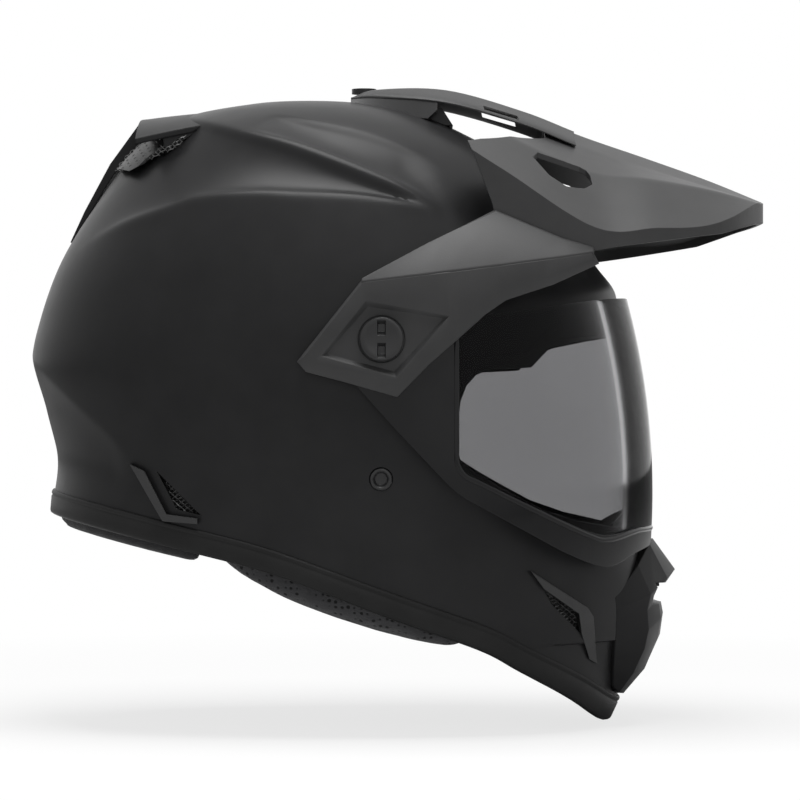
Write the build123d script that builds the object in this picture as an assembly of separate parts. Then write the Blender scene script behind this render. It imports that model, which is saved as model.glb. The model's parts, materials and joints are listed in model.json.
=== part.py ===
from build123d import *
import math
import os

# A dual sport helmet in millimetres, in the attitude in which it is worn.
# The origin lies at the centre of the wearer's head; +X is forward, +Y is the wearer's left, +Z is up.

# Outer shell
crown_height = 131.0
chin_depth = 196.0
rear_reach = 162.0
front_reach = 170.0
shell_width = 242.0
shell_wall = 3.5

# Clearances and cuts
running_gap = 0.3
face_gap = 0.02
cut_overrun = 20.0

# Head cavity inside the absorbing liner, and the comfort lining
head_height = 92.0
head_length = 216.0
head_width = 176.0
comfort_thickness = 8.0
comfort_edge = -20.0
liner_recess = 6.0

# Rubber edge round the neck opening
trim_height = 12.0
trim_proud = 1.5
trim_lap = 2.5

# Window opening's gasket
gasket_proud = 1.8
gasket_side_proud = 0.5
gasket_width = 7.0
gasket_lap = 1.6

# Face shield and its pivots
shield_width = 248.8
shield_front = 169.6
shield_thickness = 2.2
shield_axis_x = -220.0
shield_axis_z = -75.0
shield_side_length = 80.0
shield_turn_degrees = 42.0
shield_rise_degrees = 30.0
shield_hub_radius = 21.0
shield_hub_proud = 0.2
shield_hub_inward = 0.95
pivot_x = 26.9
pivot_z = 3.6
pivot_seat = 118.6
pivot_plate_radius = 19.0
pivot_plate_thickness = 2.3
pivot_hub_radius = 9.0
pivot_hub_fit = 0.06
plate_screw_count = 3
plate_screw_circle = 14.0
plate_screw_radius = 1.6

# Side screws of the peak and their inserts in the shell
screw_shank_radius = 4.0
screw_shank_fit = 0.05
screw_head_radius = 10.9
screw_head_height = 3.6
screw_slot_width = 3.6
screw_slot_depth = 1.8
insert_radius = 7.2
insert_inner = 104.0

# Peak
peak_reach = 228.0
peak_thickness = 3.0
arm_face = 129.4
arm_thickness = 4.0
arm_recess_depth = 1.2
facet_drop = 2.0
spine_half = 24.0
spine_flat = 9.0
spine_thickness = 2.4

# Top screw of the peak
top_screw_x = 17.0
top_screw_radius = 2.5
top_screw_seat = 135.6
top_head_radius = 6.5
top_head_height = 2.6
top_insert_radius = 5.0
top_insert_length = 9.0
top_shank_length = 12.0

# Absorbing liner of the chin bar
chin_liner_start = 62.0
chin_liner_top = -66.0

# Brow vent
brow_vent_x = 40.0
brow_vent_length = 16.0
brow_vent_half = 9.0
brow_cover_half = 14.0
brow_slot_half = 6.0
brow_slider_thickness = 1.2
brow_slider_half = 9.0
brow_slider_length = 14.0

# Mouthpiece of the chin bar, its opening, mesh and shutter
mouth_middle = 118.0
mouth_length = 60.0
mouth_wall = 2.8
mouth_window_half = 28.0
mouth_hole_half = 24.0
mouth_low = -133.0
mouth_high = -121.0
shutter_gap = 0.6
shutter_thickness = 1.2
shutter_lap = 2.0
knob_half = 7.0
knob_height = 3.5
knob_length = 4.0

# Side vents
lip_proud = 2.6
mesh_depth = 0.6
mesh_thickness = 1.0
vent_start = 30.0

# Rear spoiler
spoiler_wall = 3.0
spoiler_rib_half = 7.0
spoiler_mesh_half = 52.0

# Neck roll
roll_drop = 4.0
roll_depth = 22.0
roll_front = -66.0

# Breath deflector
deflector_half = 38.0
deflector_depth = 6.0
deflector_thickness = 1.6

# Round plug of each cheek
plug_radius = 5.9
plug_x = 26.6
plug_z = -65.9
plug_depth = 8.0
plug_proud = 1.0

# Chin strap
strap_x = 8.0
strap_z = -72.0
strap_width = 22.0
strap_thickness = 1.6
anchor_y = 111.0
anchor_half = 12.0
anchor_thickness = 1.5
ring_wire = 1.5
ring_half = 13.5
ring_drop = 21.0
ring_pitch = 4.2
ring_bend = 5.0
eye_wall = 1.6


def signed_power(value, power):
    return math.copysign(abs(value) ** power, value)


def even_spline(points):
    # A closed curve with even parameters, so that the curves of a loft match one another.
    count = len(points)
    return Edge.make_spline(points, periodic=True, parameters=[step / count for step in range(count + 1)])


def ring_face(height, rear, front, half, middle, front_power, rear_power, steps=20):
    # One plan outline of the helmet, from the front centre round by the left side.
    points = []
    for step in range(steps):
        turn = 2 * math.pi * step / steps
        along = math.cos(turn)
        power = front_power if along > 0 else rear_power
        reach = front - middle if along > 0 else middle - rear
        x = middle + reach * signed_power(along, 2 / power)
        y = half * signed_power(math.sin(turn), 2 / power)
        points.append(Vector(x, y, height))
    return make_face(even_spline(points))


# Each row: height, rear, front, half width, place of the widest point, front and rear roundness.
# Heights above the datum are shares of the height, those below it of the chin's depth.
shell_shares = (
    (1.000, 0.185, 0.035, 0.107, -0.065, 2.0, 2.0),
    (0.987, 0.278, 0.129, 0.240, -0.070, 2.0, 2.0),
    (0.947, 0.438, 0.271, 0.397, -0.082, 2.0, 2.0),
    (0.870, 0.574, 0.412, 0.562, -0.082, 2.0, 2.0),
    (0.748, 0.685, 0.571, 0.711, -0.070, 2.0, 2.1),
    (0.557, 0.784, 0.712, 0.860, -0.047, 2.1, 2.2),
    (0.344, 0.883, 0.812, 0.950, -0.018, 2.2, 2.3),
    (0.122, 0.948, 0.876, 0.992, 0.012, 2.3, 2.3),
    (-0.041, 0.975, 0.912, 1.000, 0.035, 2.3, 2.3),
    (-0.168, 0.942, 0.941, 0.996, 0.059, 2.2, 2.3),
    (-0.311, 0.903, 0.953, 0.975, 0.082, 2.1, 2.3),
    (-0.434, 0.908, 0.949, 0.952, 0.094, 2.0, 2.3),
    (-0.592, 0.930, 0.971, 0.926, 0.094, 2.0, 2.2),
    (-0.714, 0.930, 0.982, 0.901, 0.082, 1.9, 2.2),
    (-0.867, 0.930, 0.924, 0.868, 0.071, 1.9, 2.2),
    (-1.080, 0.930, 0.812, 0.818, 0.059, 1.9, 2.2),
)
cavity_shares = (
    (1.000, 0.190, 0.190, 0.180, 0.00, 2.0, 2.0),
    (0.930, 0.440, 0.430, 0.440, 0.00, 2.0, 2.0),
    (0.760, 0.730, 0.710, 0.720, 0.00, 2.0, 2.0),
    (0.435, 0.930, 0.920, 0.930, 0.00, 2.1, 2.1),
    (0.000, 1.000, 1.010, 1.000, 0.03, 2.2, 2.2),
    (-0.240, 0.980, 1.110, 1.030, 0.08, 2.2, 2.2),
    (-0.450, 0.930, 1.210, 1.090, 0.14, 2.1, 2.2),
    (-0.700, 0.880, 1.260, 1.130, 0.17, 2.0, 2.2),
    (-1.080, 0.830, 1.080, 1.030, 0.17, 2.0, 2.2),
)


def level_body(shares, height, rear_size, front_size, half_size, inset, side_inset):
    faces = []
    for up, rear, front, half, middle, front_power, rear_power in shares:
        level = up * (height - inset) if up > 0 else up * chin_depth
        faces.append(ring_face(level, inset - rear * rear_size, front * front_size - inset,
                               half * half_size - side_inset, middle * front_size, front_power, rear_power))
    return loft(faces)


def shell_body(inset, side_inset=None):
    # The closed form of the shell, drawn in all round by the inset.
    side = inset if side_inset is None else side_inset
    return level_body(shell_shares, crown_height, rear_reach, front_reach, shell_width / 2, inset, side)


def cavity_body(inset):
    half = head_length / 2
    return level_body(cavity_shares, head_height, half, half, head_width / 2, inset, inset)


def layer(outer, inner):
    # The wall between two nested forms that stand on one plane.
    outer_faces = outer.faces().sort_by(Axis.Z)
    inner_faces = inner.faces().sort_by(Axis.Z)
    rim = Face(outer_faces[0].outer_wire(), [inner_faces[0].outer_wire()])
    return Solid(Shell(list(outer_faces[1:]) + list(inner_faces[1:]) + [rim]))


def skin(outer_inset, inner_inset, region):
    # The layer between two drawn-in forms of the shell, within a region.
    return (region & shell_body(outer_inset)) - shell_body(inner_inset)


def side_points(shares):
    # Places in the side view, from shares of the reach forward and of the height or depth.
    return [(a * front_reach, b * (crown_height if b > 0 else chin_depth)) for a, b in shares]


def side_face(points, start=0.0):
    return make_face(Polyline(*[(x, start, z) for x, z in points], close=True))


def through(face):
    # A side outline carried right across the helmet.
    return extrude(face, amount=shell_width, dir=(0, 1, 0), both=True)


def left_part(face):
    # A side outline carried outward from its own plane to the left.
    return extrude(face, amount=shell_width / 2, dir=(0, 1, 0))


def mirrored(shape):
    return mirror(shape, about=Plane.XZ)


def both_sides(shape):
    return shape + mirrored(shape)


def bar(radius, start, end, x=pivot_x, z=pivot_z):
    # A round bar along Y on the left side.
    return extrude(Plane(origin=(x, start, z), z_dir=(0, 1, 0)) * Circle(radius), amount=end - start)


def post(radius, bottom, top, x):
    # A round bar along Z on the centre plane.
    return extrude(Pos(x, 0, bottom) * Circle(radius), amount=top - bottom)


def block(x0, x1, y0, y1, z0, z1):
    centre = ((x0 + x1) / 2, (y0 + y1) / 2, (z0 + z1) / 2)
    return Pos(*centre) * Box(x1 - x0, y1 - y0, z1 - z0)


# Edge of the neck opening in the side view.
neck_rear_shares = ((-1.120, -0.405), (-0.916, -0.433), (-0.463, -0.518), (-0.160, -0.582))
neck_front_shares = (
    (0.188, -0.694), (0.447, -0.776), (0.571, -0.835), (0.735, -0.918), (0.860, -0.997), (1.120, -1.150),
)


def above_neck(lift):
    # Everything above the neck opening's edge raised by the lift, as one prism.
    low = [(a * rear_reach, b * chin_depth + lift) for a, b in neck_rear_shares]
    low += [(a * front_reach, b * chin_depth + lift) for a, b in neck_front_shares]
    top = crown_height + cut_overrun
    curve = Spline(*[Vector(x, 0, z) for x, z in low])
    lid = Polyline((low[-1][0], 0, low[-1][1]), (low[-1][0], 0, top), (low[0][0], 0, top),
                   (low[0][0], 0, low[0][1]))
    return through(make_face(curve + lid))


# Window opening of the shell, from its upper rear corner round by the front.
window_shares = (
    (0.400, -0.060), (0.600, -0.052), (0.680, 0.030), (1.300, 0.130),
    (1.300, -0.492), (0.765, -0.478), (0.420, -0.318), (0.372, -0.270),
)


def window(grow):
    face = side_face(side_points(window_shares))
    return through(offset(face, amount=grow) if grow else face)


rear_vent_shares = ((-0.532, -0.318), (-0.470, -0.415), (-0.392, -0.430))
chin_vent_shares = ((0.640, -0.628), (0.742, -0.684), (0.752, -0.742), (0.665, -0.665))


def vent_prism(shares, inset=0.0):
    face = side_face(side_points(shares), vent_start)
    return left_part(offset(face, amount=-inset, kind=Kind.INTERSECTION) if inset else face)


def brow_hole():
    return block(brow_vent_x, brow_vent_x + brow_vent_length, -brow_vent_half, brow_vent_half,
                 0, crown_height + cut_overrun)


def top_screw_bore():
    return post(top_screw_radius + screw_shank_fit, 0, 2 * crown_height, top_screw_x)


def mouth_hole(gap=0.0):
    return block(mouth_middle, peak_reach, gap - mouth_hole_half, mouth_hole_half - gap,
                 mouth_low + gap, mouth_high - gap)


def make_outer_shell():
    shell = layer(shell_body(0), shell_body(shell_wall)) & above_neck(trim_lap)
    shell = shell - window(gasket_lap)
    vents = vent_prism(rear_vent_shares) + vent_prism(chin_vent_shares)
    seat = bar(pivot_plate_radius + running_gap, pivot_seat, shell_width)
    seat = seat + bar(insert_radius, insert_inner, shell_width)
    plug = bar(plug_radius, insert_inner, shell_width, plug_x, plug_z)
    return shell - both_sides(vents + seat + plug) - brow_hole() - mouth_hole() - top_screw_bore()


def chin_zone(gap):
    # The space in front of the jaw, where the chin bar has a liner of its own.
    return block(chin_liner_start + gap, peak_reach, -shell_width, shell_width,
                 -2 * chin_depth, chin_liner_top - gap)


def make_whole_liner():
    form = shell_body(shell_wall + running_gap) & above_neck(trim_height + liner_recess)
    return form - cavity_body(0) - window(gasket_width)


def make_crown_liner(whole):
    bores = bar(insert_radius, insert_inner - running_gap, shell_width)
    bores = bores + bar(plug_radius + running_gap, insert_inner, shell_width, plug_x, plug_z)
    bores = bores + anchor_pocket()
    insert_pocket = post(top_insert_radius + running_gap, head_height, crown_height, top_screw_x)
    return whole - chin_zone(0) - both_sides(bores) - brow_hole() - insert_pocket


def make_chin_liner(whole):
    return (whole & chin_zone(running_gap)) - mouth_hole()


def make_comfort_liner():
    pad = layer(cavity_body(running_gap), cavity_body(comfort_thickness))
    upper = block(-rear_reach, peak_reach, -shell_width, shell_width, comfort_edge, crown_height)
    return (pad & upper) - window(gasket_width + running_gap)


def make_bottom_trim():
    # The rubber edge is a channel that grips the shell's lower edge from both sides.
    ring = skin(-trim_proud, shell_wall + trim_proud, above_neck(0) - above_neck(trim_height))
    return ring - skin(0, shell_wall, above_neck(trim_lap) - above_neck(trim_height + cut_overrun))


def make_eyeport_gasket():
    ring = (window(gasket_width) - window(0)) & shell_body(-gasket_proud, -gasket_side_proud)
    ring = ring - shell_body(shell_wall + trim_proud)
    return ring - skin(0, shell_wall, window(gasket_width + gasket_lap) - window(gasket_lap))


# Side outline of the face shield, from its upper rear corner round by the front.
shield_outline_shares = (
    (0.290, 0.118), (0.450, 0.120), (0.690, 0.165), (0.860, 0.200), (1.100, 0.222),
    (1.100, -0.500), (0.930, -0.533), (0.865, -0.566), (0.812, -0.570), (0.700, -0.528),
    (0.602, -0.480), (0.447, -0.406), (0.376, -0.372), (0.282, -0.285), (0.212, -0.222),
    (0.119, -0.133), (0.040, -0.060), (0.030, 0.080),
)


def shield_wall():
    # Flat sides joined by a half circle round the front, turned about a level axis far behind.
    middle = shield_front - shield_width / 2
    rear = middle - shield_side_length
    edges = []
    halves = (shield_width / 2, shield_width / 2 - shield_thickness)
    for half in halves:
        edges += [Line((rear, half), (middle, half)), Line((rear, -half), (middle, -half)),
                  ThreePointArc((middle, half), (middle + half, 0), (middle, -half))]
    edges += [Line((rear, halves[0]), (rear, halves[1])), Line((rear, -halves[0]), (rear, -halves[1]))]
    axis = Axis((shield_axis_x, 0, shield_axis_z), (0, 1, 0))
    turned = revolve(Pos(0, 0, shield_axis_z) * make_face(edges), axis, revolution_arc=shield_turn_degrees)
    return turned.rotate(axis, -shield_rise_degrees)


def make_face_shield():
    form = shield_wall() & through(side_face(side_points(shield_outline_shares)))
    outer = shield_width / 2 + shield_hub_proud
    inner = shield_width / 2 - shield_thickness - shield_hub_inward
    bore = bar(pivot_hub_radius + pivot_hub_fit, 0, shell_width)
    return form + both_sides(bar(shield_hub_radius, inner, outer)) - both_sides(bore)


def plate_screw_bars(radius, start, end):
    bars = []
    for turn in range(plate_screw_count):
        angle = 2 * math.pi * (turn + 0.25) / plate_screw_count
        x = pivot_x + plate_screw_circle * math.cos(angle)
        z = pivot_z + plate_screw_circle * math.sin(angle)
        bars.append(bar(radius, start, end, x, z))
    return bars


def make_pivot_plate():
    plate = bar(pivot_plate_radius, pivot_seat, pivot_seat + pivot_plate_thickness)
    plate = plate + bar(pivot_hub_radius, pivot_seat, arm_face - arm_thickness - face_gap)
    plate = plate - bar(screw_shank_radius + screw_shank_fit, 0, shell_width)
    for hole in plate_screw_bars(plate_screw_radius, 0, shell_width):
        plate = plate - hole
    return plate


def make_plate_screws():
    top = pivot_seat + pivot_plate_thickness
    left = [screw.solid() for screw in plate_screw_bars(plate_screw_radius - face_gap, pivot_seat, top)]
    return Compound(children=left + [mirrored(screw) for screw in left])


def make_side_insert():
    insert = bar(insert_radius - face_gap, insert_inner, pivot_seat)
    return insert - bar(screw_shank_radius + screw_shank_fit, 0, shell_width)


def make_side_screw():
    floor = arm_face - arm_recess_depth
    screw = bar(screw_head_radius, floor, floor + screw_head_height)
    screw = screw + bar(screw_shank_radius, insert_inner + face_gap, floor)
    slot = block(pivot_x - screw_slot_width / 2, pivot_x + screw_slot_width / 2,
                 floor + screw_head_height - screw_slot_depth, shell_width,
                 pivot_z - 2 * screw_head_radius, pivot_z + 2 * screw_head_radius)
    return screw - slot


# Cross-sections of the peak's top: place along, the heights at the middle, the spine's edge,
# the arch fold and the outer fold, and the half widths of the two folds.
peak_top_shares = (
    (0.270, 1.045, 0.995, 0.940, 0.815, 0.263, 0.425),
    (0.395, 0.991, 0.916, 0.840, 0.676, 0.263, 0.443),
    (0.583, 0.866, 0.803, 0.690, 0.462, 0.263, 0.465),
    (0.724, 0.781, 0.725, 0.664, 0.454, 0.254, 0.452),
    (0.877, 0.685, 0.641, 0.620, 0.485, 0.219, 0.360),
    (1.010, 0.588, 0.572, 0.557, 0.535, 0.175, 0.263),
)


def peak_top(lower):
    faces = []
    for along, middle, edge, arch, fold, arch_half, fold_half in peak_top_shares:
        slope = (arch - fold) * crown_height / ((fold_half - arch_half) * peak_reach)
        right = [(0, middle * crown_height), (spine_half, edge * crown_height),
                 (arch_half * peak_reach, arch * crown_height),
                 (fold_half * peak_reach, fold * crown_height),
                 (fold_half * peak_reach + cut_overrun, fold * crown_height - slope * cut_overrun)]
        line = [(-y, z - lower) for y, z in reversed(right[1:])] + [(y, z - lower) for y, z in right]
        line += [(right[-1][0], 0), (-right[-1][0], 0)]
        faces.append(make_face(Polyline(*[(along * peak_reach, y, z) for y, z in line], close=True)))
    return loft(faces, ruled=True)


# Half of the peak's plan: its rear edge from the spine outward, then its side and its front.
peak_rear_shares = ((0.491, 0.132), (0.399, 0.272), (0.338, 0.351))
peak_side_shares = (
    (0.290, 0.430), (0.368, 0.447), (0.610, 0.468), (0.716, 0.452), (0.820, 0.404), (0.905, 0.320),
)
peak_front_shares = ((0.964, 0.205), (0.992, 0.100))


def plan_prism(points):
    outline = points + [(x, -y) for x, y in reversed(points)]
    face = make_face(Polyline(*[(x, y, 0) for x, y in outline], close=True))
    return extrude(face, amount=crown_height + cut_overrun)


def peak_plan(inward):
    side = [(a * peak_reach, b * peak_reach - inward) for a, b in peak_side_shares]
    front = [(a * peak_reach - inward, b * peak_reach - inward / 2) for a, b in peak_front_shares]
    rear = [(0, side[0][1])] if inward else [(a * peak_reach, b * peak_reach) for a, b in peak_rear_shares]
    return plan_prism(rear + side + front)


# Lower edge of the peak's side in the side view, from the rear of the fin to the front.
peak_lower_shares = (
    (0.255, 1.100), (0.306, 0.806), (0.360, 0.557), (0.365, 0.522), (0.513, 0.416), (0.581, 0.366),
    (0.627, 0.382), (0.715, 0.402), (0.877, 0.443), (0.960, 0.490), (1.050, 0.530),
)
intake_shares = ((0.447, 0.289), (0.557, 0.254), (0.575, 0.263), (0.583, 0.316), (0.509, 0.360))


def make_peak_visor():
    low = [(a * peak_reach, b * crown_height) for a, b in peak_lower_shares]
    top = crown_height + 2 * cut_overrun
    keep = through(side_face(low + [(low[-1][0], top), (low[0][0], top)]))
    form = peak_top(0) & peak_plan(0)
    form = form - (peak_top(peak_thickness) & peak_plan(peak_thickness))
    corners = [(a * peak_reach, b * peak_reach, 0) for a, b in intake_shares]
    intake = make_face(Polyline(*corners, close=True))
    return (form & keep) - both_sides(extrude(intake, amount=2 * crown_height))


# Spine of the peak: place along, top height, edge height and half width.
spine_shares = (
    (0.045, 1.018, 1.015, 0.068), (0.105, 1.050, 1.020, 0.078), (0.265, 1.048, 0.992, 0.120),
    (0.440, 0.964, 0.905, 0.128), (0.560, 0.882, 0.820, 0.132),
)


def make_peak_spine():
    faces = []
    for along, top, edge, half in spine_shares:
        side = half * peak_reach
        crest = [(-side, edge), (-spine_flat, top), (spine_flat, top), (side, edge)]
        upper = [(y, h * crown_height) for y, h in crest]
        under = [(y, z - spine_thickness) for y, z in reversed(upper)]
        corners = [(along * peak_reach, y, z) for y, z in upper + under]
        faces.append(make_face(Polyline(*corners, close=True)))
    return loft(faces, ruled=True)


# Side arm of the peak: its outline in the side view, and its outer face in plan.
arm_outline_shares = (
    (0.099, 0.247), (0.404, 0.293), (0.680, 0.344), (0.779, 0.366), (0.798, 0.318), (0.765, 0.280),
    (0.661, 0.237), (0.615, 0.221), (0.521, 0.176), (0.462, 0.122), (0.384, 0.031), (0.299, -0.044),
    (0.204, -0.128), (0.049, -0.090), (-0.064, -0.065), (-0.090, -0.044), (-0.090, -0.032),
)
arm_plan_shares = (
    (-0.120, 0.992), (0.020, 1.000), (0.290, 1.000), (0.353, 0.996), (0.530, 0.947), (0.810, 0.843),
)
# Upper facet of the arm: place along, the fold's height and the upper edge's half width and height.
facet_shares = (
    (0.100, 0.247, 0.982, 0.258), (0.294, 0.276, 0.912, 0.397), (0.365, 0.288, 0.874, 0.443),
    (0.494, 0.309, 0.804, 0.522), (0.688, 0.345, 0.827, 0.416), (0.782, 0.366, 0.831, 0.380),
)
diamond_shares = ((0.116, 0.163), (0.349, 0.111), (0.198, -0.072), (-0.012, -0.022))


def arm_plan():
    return [(a * front_reach, b * arm_face) for a, b in arm_plan_shares]


def arm_face_at(x):
    points = arm_plan()
    for (x0, y0), (x1, y1) in zip(points, points[1:]):
        if x <= x1:
            return y0 + (y1 - y0) * (x - x0) / (x1 - x0)
    return points[-1][1]


def make_arm_facet():
    faces = []
    for along, fold, edge_half, edge in facet_shares:
        x = along * front_reach
        upper = [(arm_face_at(x), fold * crown_height), (edge_half * arm_face, edge * crown_height)]
        under = [(y - peak_thickness, z - facet_drop) for y, z in reversed(upper)]
        faces.append(make_face(Polyline(*[(x, y, z) for y, z in upper + under], close=True)))
    return loft(faces, ruled=True)


def make_peak_arm():
    inner = [(x, y - arm_thickness) for x, y in reversed(arm_plan())]
    face = make_face(Polyline(*[(x, y, -chin_depth) for x, y in arm_plan() + inner], close=True))
    arm = extrude(face, amount=2 * chin_depth) & through(side_face(side_points(arm_outline_shares)))
    recess = left_part(side_face(side_points(diamond_shares), arm_face - arm_recess_depth))
    bore = bar(screw_shank_radius + screw_shank_fit, 0, shell_width)
    return arm + make_arm_facet() - recess - bore


def make_peak():
    form = make_peak_visor() + make_peak_spine() + both_sides(make_peak_arm())
    seat = post(top_head_radius + running_gap, top_screw_seat, 2 * crown_height, top_screw_x)
    return form - top_screw_bore() - seat


def make_top_screw():
    head = post(top_head_radius, top_screw_seat, top_screw_seat + top_head_height, top_screw_x)
    return head + post(top_screw_radius, top_screw_seat - top_shank_length, top_screw_seat, top_screw_x)


def make_top_insert():
    top = crown_height - shell_wall
    insert = post(top_insert_radius, top - top_insert_length, top, top_screw_x)
    insert = insert & shell_body(shell_wall + face_gap)
    return insert - top_screw_bore()


# Mouthpiece levels: height, front and half width.
mouth_shares = (
    (-0.520, 0.955, 0.329), (-0.533, 1.022, 0.329), (-0.592, 1.070, 0.335), (-0.655, 1.018, 0.341),
    (-0.714, 1.032, 0.341), (-0.770, 1.022, 0.335), (-0.837, 0.980, 0.329), (-0.893, 0.944, 0.318),
    (-0.935, 0.895, 0.306),
)
mouth_side_shares = (
    (1.040, -0.527), (0.960, -0.578), (0.841, -0.645), (0.843, -0.690), (0.853, -0.806), (0.859, -0.890),
    (0.900, -0.930), (1.200, -0.930), (1.200, -0.527),
)
mouth_inner_shares = (
    (1.000, -0.585), (0.880, -0.655), (0.882, -0.860), (0.910, -0.885), (1.200, -0.885), (1.200, -0.585),
)


def mouth_form(inset):
    faces = []
    for height, front, half in mouth_shares:
        faces.append(ring_face(height * chin_depth, mouth_middle - mouth_length, front * front_reach - inset,
                               half * front_reach - inset, mouth_middle, 2.5, 2.5))
    return loft(faces)


def make_mouthpiece():
    form = mouth_form(0) & through(side_face(side_points(mouth_side_shares)))
    hollow = mouth_form(mouth_wall) & through(side_face(side_points(mouth_inner_shares)))
    opening = block(mouth_middle, peak_reach, -mouth_window_half, mouth_window_half, mouth_low, mouth_high)
    return form - hollow - shell_body(-face_gap) - opening


def make_mouth_shutter():
    # The shutter is curved as the shell behind it, and its knob reaches through the mouthpiece.
    half = mouth_hole_half + shutter_lap
    region = block(mouth_middle, peak_reach, -half, half,
                   mouth_low - shutter_lap / 2, mouth_high + shutter_lap / 2)
    plate = skin(-shutter_gap - shutter_thickness, -shutter_gap, region)
    face = plate.bounding_box().max.X
    knob = block(face - shutter_thickness, face + knob_length, -knob_half, knob_half,
                 mouth_high - knob_height - running_gap, mouth_high - running_gap)
    return plate + knob


def make_mouth_mesh():
    return skin(mesh_depth, mesh_depth + mesh_thickness, mouth_hole(running_gap))


chin_lip_shares = (
    (0.600, -0.575), (0.776, -0.676), (0.794, -0.700), (0.809, -0.828), (0.785, -0.815),
    (0.758, -0.745), (0.748, -0.690), (0.640, -0.622),
)
rear_lip_shares = (
    (-0.590, -0.300), (-0.545, -0.318), (-0.478, -0.428),
    (-0.385, -0.438), (-0.385, -0.452), (-0.490, -0.446),
)


def make_lip(shares):
    return skin(-lip_proud, -face_gap, left_part(side_face(side_points(shares), vent_start)))


def make_vent_mesh(shares):
    return skin(mesh_depth, mesh_depth + mesh_thickness, vent_prism(shares, running_gap))


# Rear spoiler: place along, middle height, edge height and half width.
spoiler_shares = (
    (-0.330, 0.962, 0.900, 0.284), (-0.480, 0.948, 0.862, 0.333), (-0.618, 0.927, 0.822, 0.358),
)
rib_shares = (
    (-0.560, 0.935), (-0.618, 0.927), (-0.723, 0.748), (-0.806, 0.557), (-0.852, 0.433), (-0.560, 0.433),
)
upper_mesh_shares = ((-0.460, 0.800), (-0.460, 0.842), (-0.600, 0.842), (-0.690, 0.720), (-0.640, 0.700))


def rear_points(shares):
    return [(a * rear_reach, b * crown_height) for a, b in shares]


def make_rear_spoiler():
    faces = []
    for along, middle, edge, half in spoiler_shares:
        x, y, top, low = along * rear_reach, half * rear_reach, middle * crown_height, edge * crown_height
        upper = ThreePointArc((x, -y, low), (x, 0, top), (x, y, low))
        foot = low - spoiler_wall
        lower = ThreePointArc((x, y, foot), (x, 0, top - spoiler_wall), (x, -y, foot))
        ends = Line((x, y, low), (x, y, foot)) + Line((x, -y, foot), (x, -y, low))
        faces.append(make_face(upper + lower + ends))
    rib = extrude(side_face(rear_points(rib_shares)), amount=spoiler_rib_half, dir=(0, 1, 0), both=True)
    return (loft(faces) + rib) - shell_body(-face_gap)


def make_upper_mesh():
    face = side_face(rear_points(upper_mesh_shares), spoiler_rib_half + running_gap)
    region = extrude(face, amount=spoiler_mesh_half - spoiler_rib_half, dir=(0, 1, 0))
    return skin(-mesh_thickness - face_gap, -face_gap, region)


# Side outline of a cheek pad, and how its form swells from its face to its back.
cheek_shares = (
    (-0.310, -0.170), (-0.360, -0.330), (-0.350, -0.520), (-0.100, -0.650),
    (0.085, -0.703), (0.210, -0.735), (0.390, -0.762),
    (0.440, -0.640), (0.400, -0.400), (0.310, -0.170), (0.000, -0.140),
)
cheek_swell_shares = ((0.480, 0.86), (0.530, 0.97), (0.660, 1.00), (0.777, 1.00), (0.835, 0.94))
cheek_centre_shares = ((0.030, -0.440),)


def strap_slot():
    return block(strap_x - strap_width / 2 - running_gap, strap_x + strap_width / 2 + running_gap, 0,
                 shell_width, strap_z - running_gap, strap_z + strap_thickness + running_gap)


def anchor_pocket():
    return block(strap_x - anchor_half - running_gap, strap_x + anchor_half + running_gap,
                 head_width / 2, shell_width, strap_z - anchor_half, strap_z + anchor_half)


def make_cheek_pad():
    faces = []
    centre_x, centre_z = side_points(cheek_centre_shares)[0]
    for out, scale in cheek_swell_shares:
        y = out * shell_width / 2
        points = [Vector(centre_x + (x - centre_x) * scale, y, centre_z + (z - centre_z) * scale)
                  for x, z in side_points(cheek_shares)]
        faces.append(make_face(even_spline(points)))
    return (loft(faces) & cavity_body(running_gap)) - strap_slot()


def make_neck_roll():
    rear = block(-rear_reach - cut_overrun, roll_front, -shell_width, shell_width, -chin_depth, 0)
    top = trim_height + liner_recess - running_gap
    band = (above_neck(-roll_drop) - above_neck(top)) & rear
    return skin(shell_wall + trim_proud + running_gap, shell_wall + roll_depth, band)


deflector_shares = (
    (0.800, -0.530), (0.830, -0.480), (0.930, -0.420), (1.000, -0.430), (1.000, -0.600), (0.800, -0.600),
)


def make_breath_deflector():
    # It stands on the chin liner, behind the gasket.
    profile = side_face(side_points(deflector_shares))
    region = extrude(profile, amount=deflector_half, dir=(0, 1, 0), both=True)
    region = region & window(gasket_width - running_gap)
    return skin(deflector_depth, deflector_depth + deflector_thickness, region)


def make_side_plug():
    outer = bar(plug_radius - face_gap, insert_inner, shell_width, plug_x, plug_z)
    return (outer & shell_body(-plug_proud)) - shell_body(plug_depth)


def make_strap_anchor():
    return block(strap_x - anchor_half, strap_x + anchor_half, anchor_y - anchor_thickness, anchor_y,
                 strap_z - anchor_half / 2, strap_z + anchor_half / 2)


# Loose ends of the strap in the front view: shares of the shell's half width and of the chin's depth.
strap_left_shares = ((0.460, -0.367), (0.425, -0.410), (0.400, -0.470))
strap_right_shares = ((0.460, -0.367), (0.400, -0.420), (0.330, -0.490), (0.180, -0.550), (-0.050, -0.560))


def strap_end(shares):
    return shares[-1][0] * shell_width / 2, shares[-1][1] * chin_depth


def strap_profile(shares):
    # The strap seen from the front: from its plate out of the liner and down to its loose end.
    middle = strap_z + strap_thickness / 2
    path = [(anchor_y - anchor_thickness - strap_thickness / 2 - face_gap, middle)]
    path += [(a * shell_width / 2, b * chin_depth) for a, b in shares]
    path[1] = (path[1][0], middle)
    line = FilletPolyline(*path, radius=2 * strap_thickness)
    return make_face(offset(line, amount=strap_thickness / 2).edges())


def strap_body(profile):
    return extrude(Plane.YZ.offset(strap_x) * profile, amount=strap_width / 2, both=True)


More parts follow.
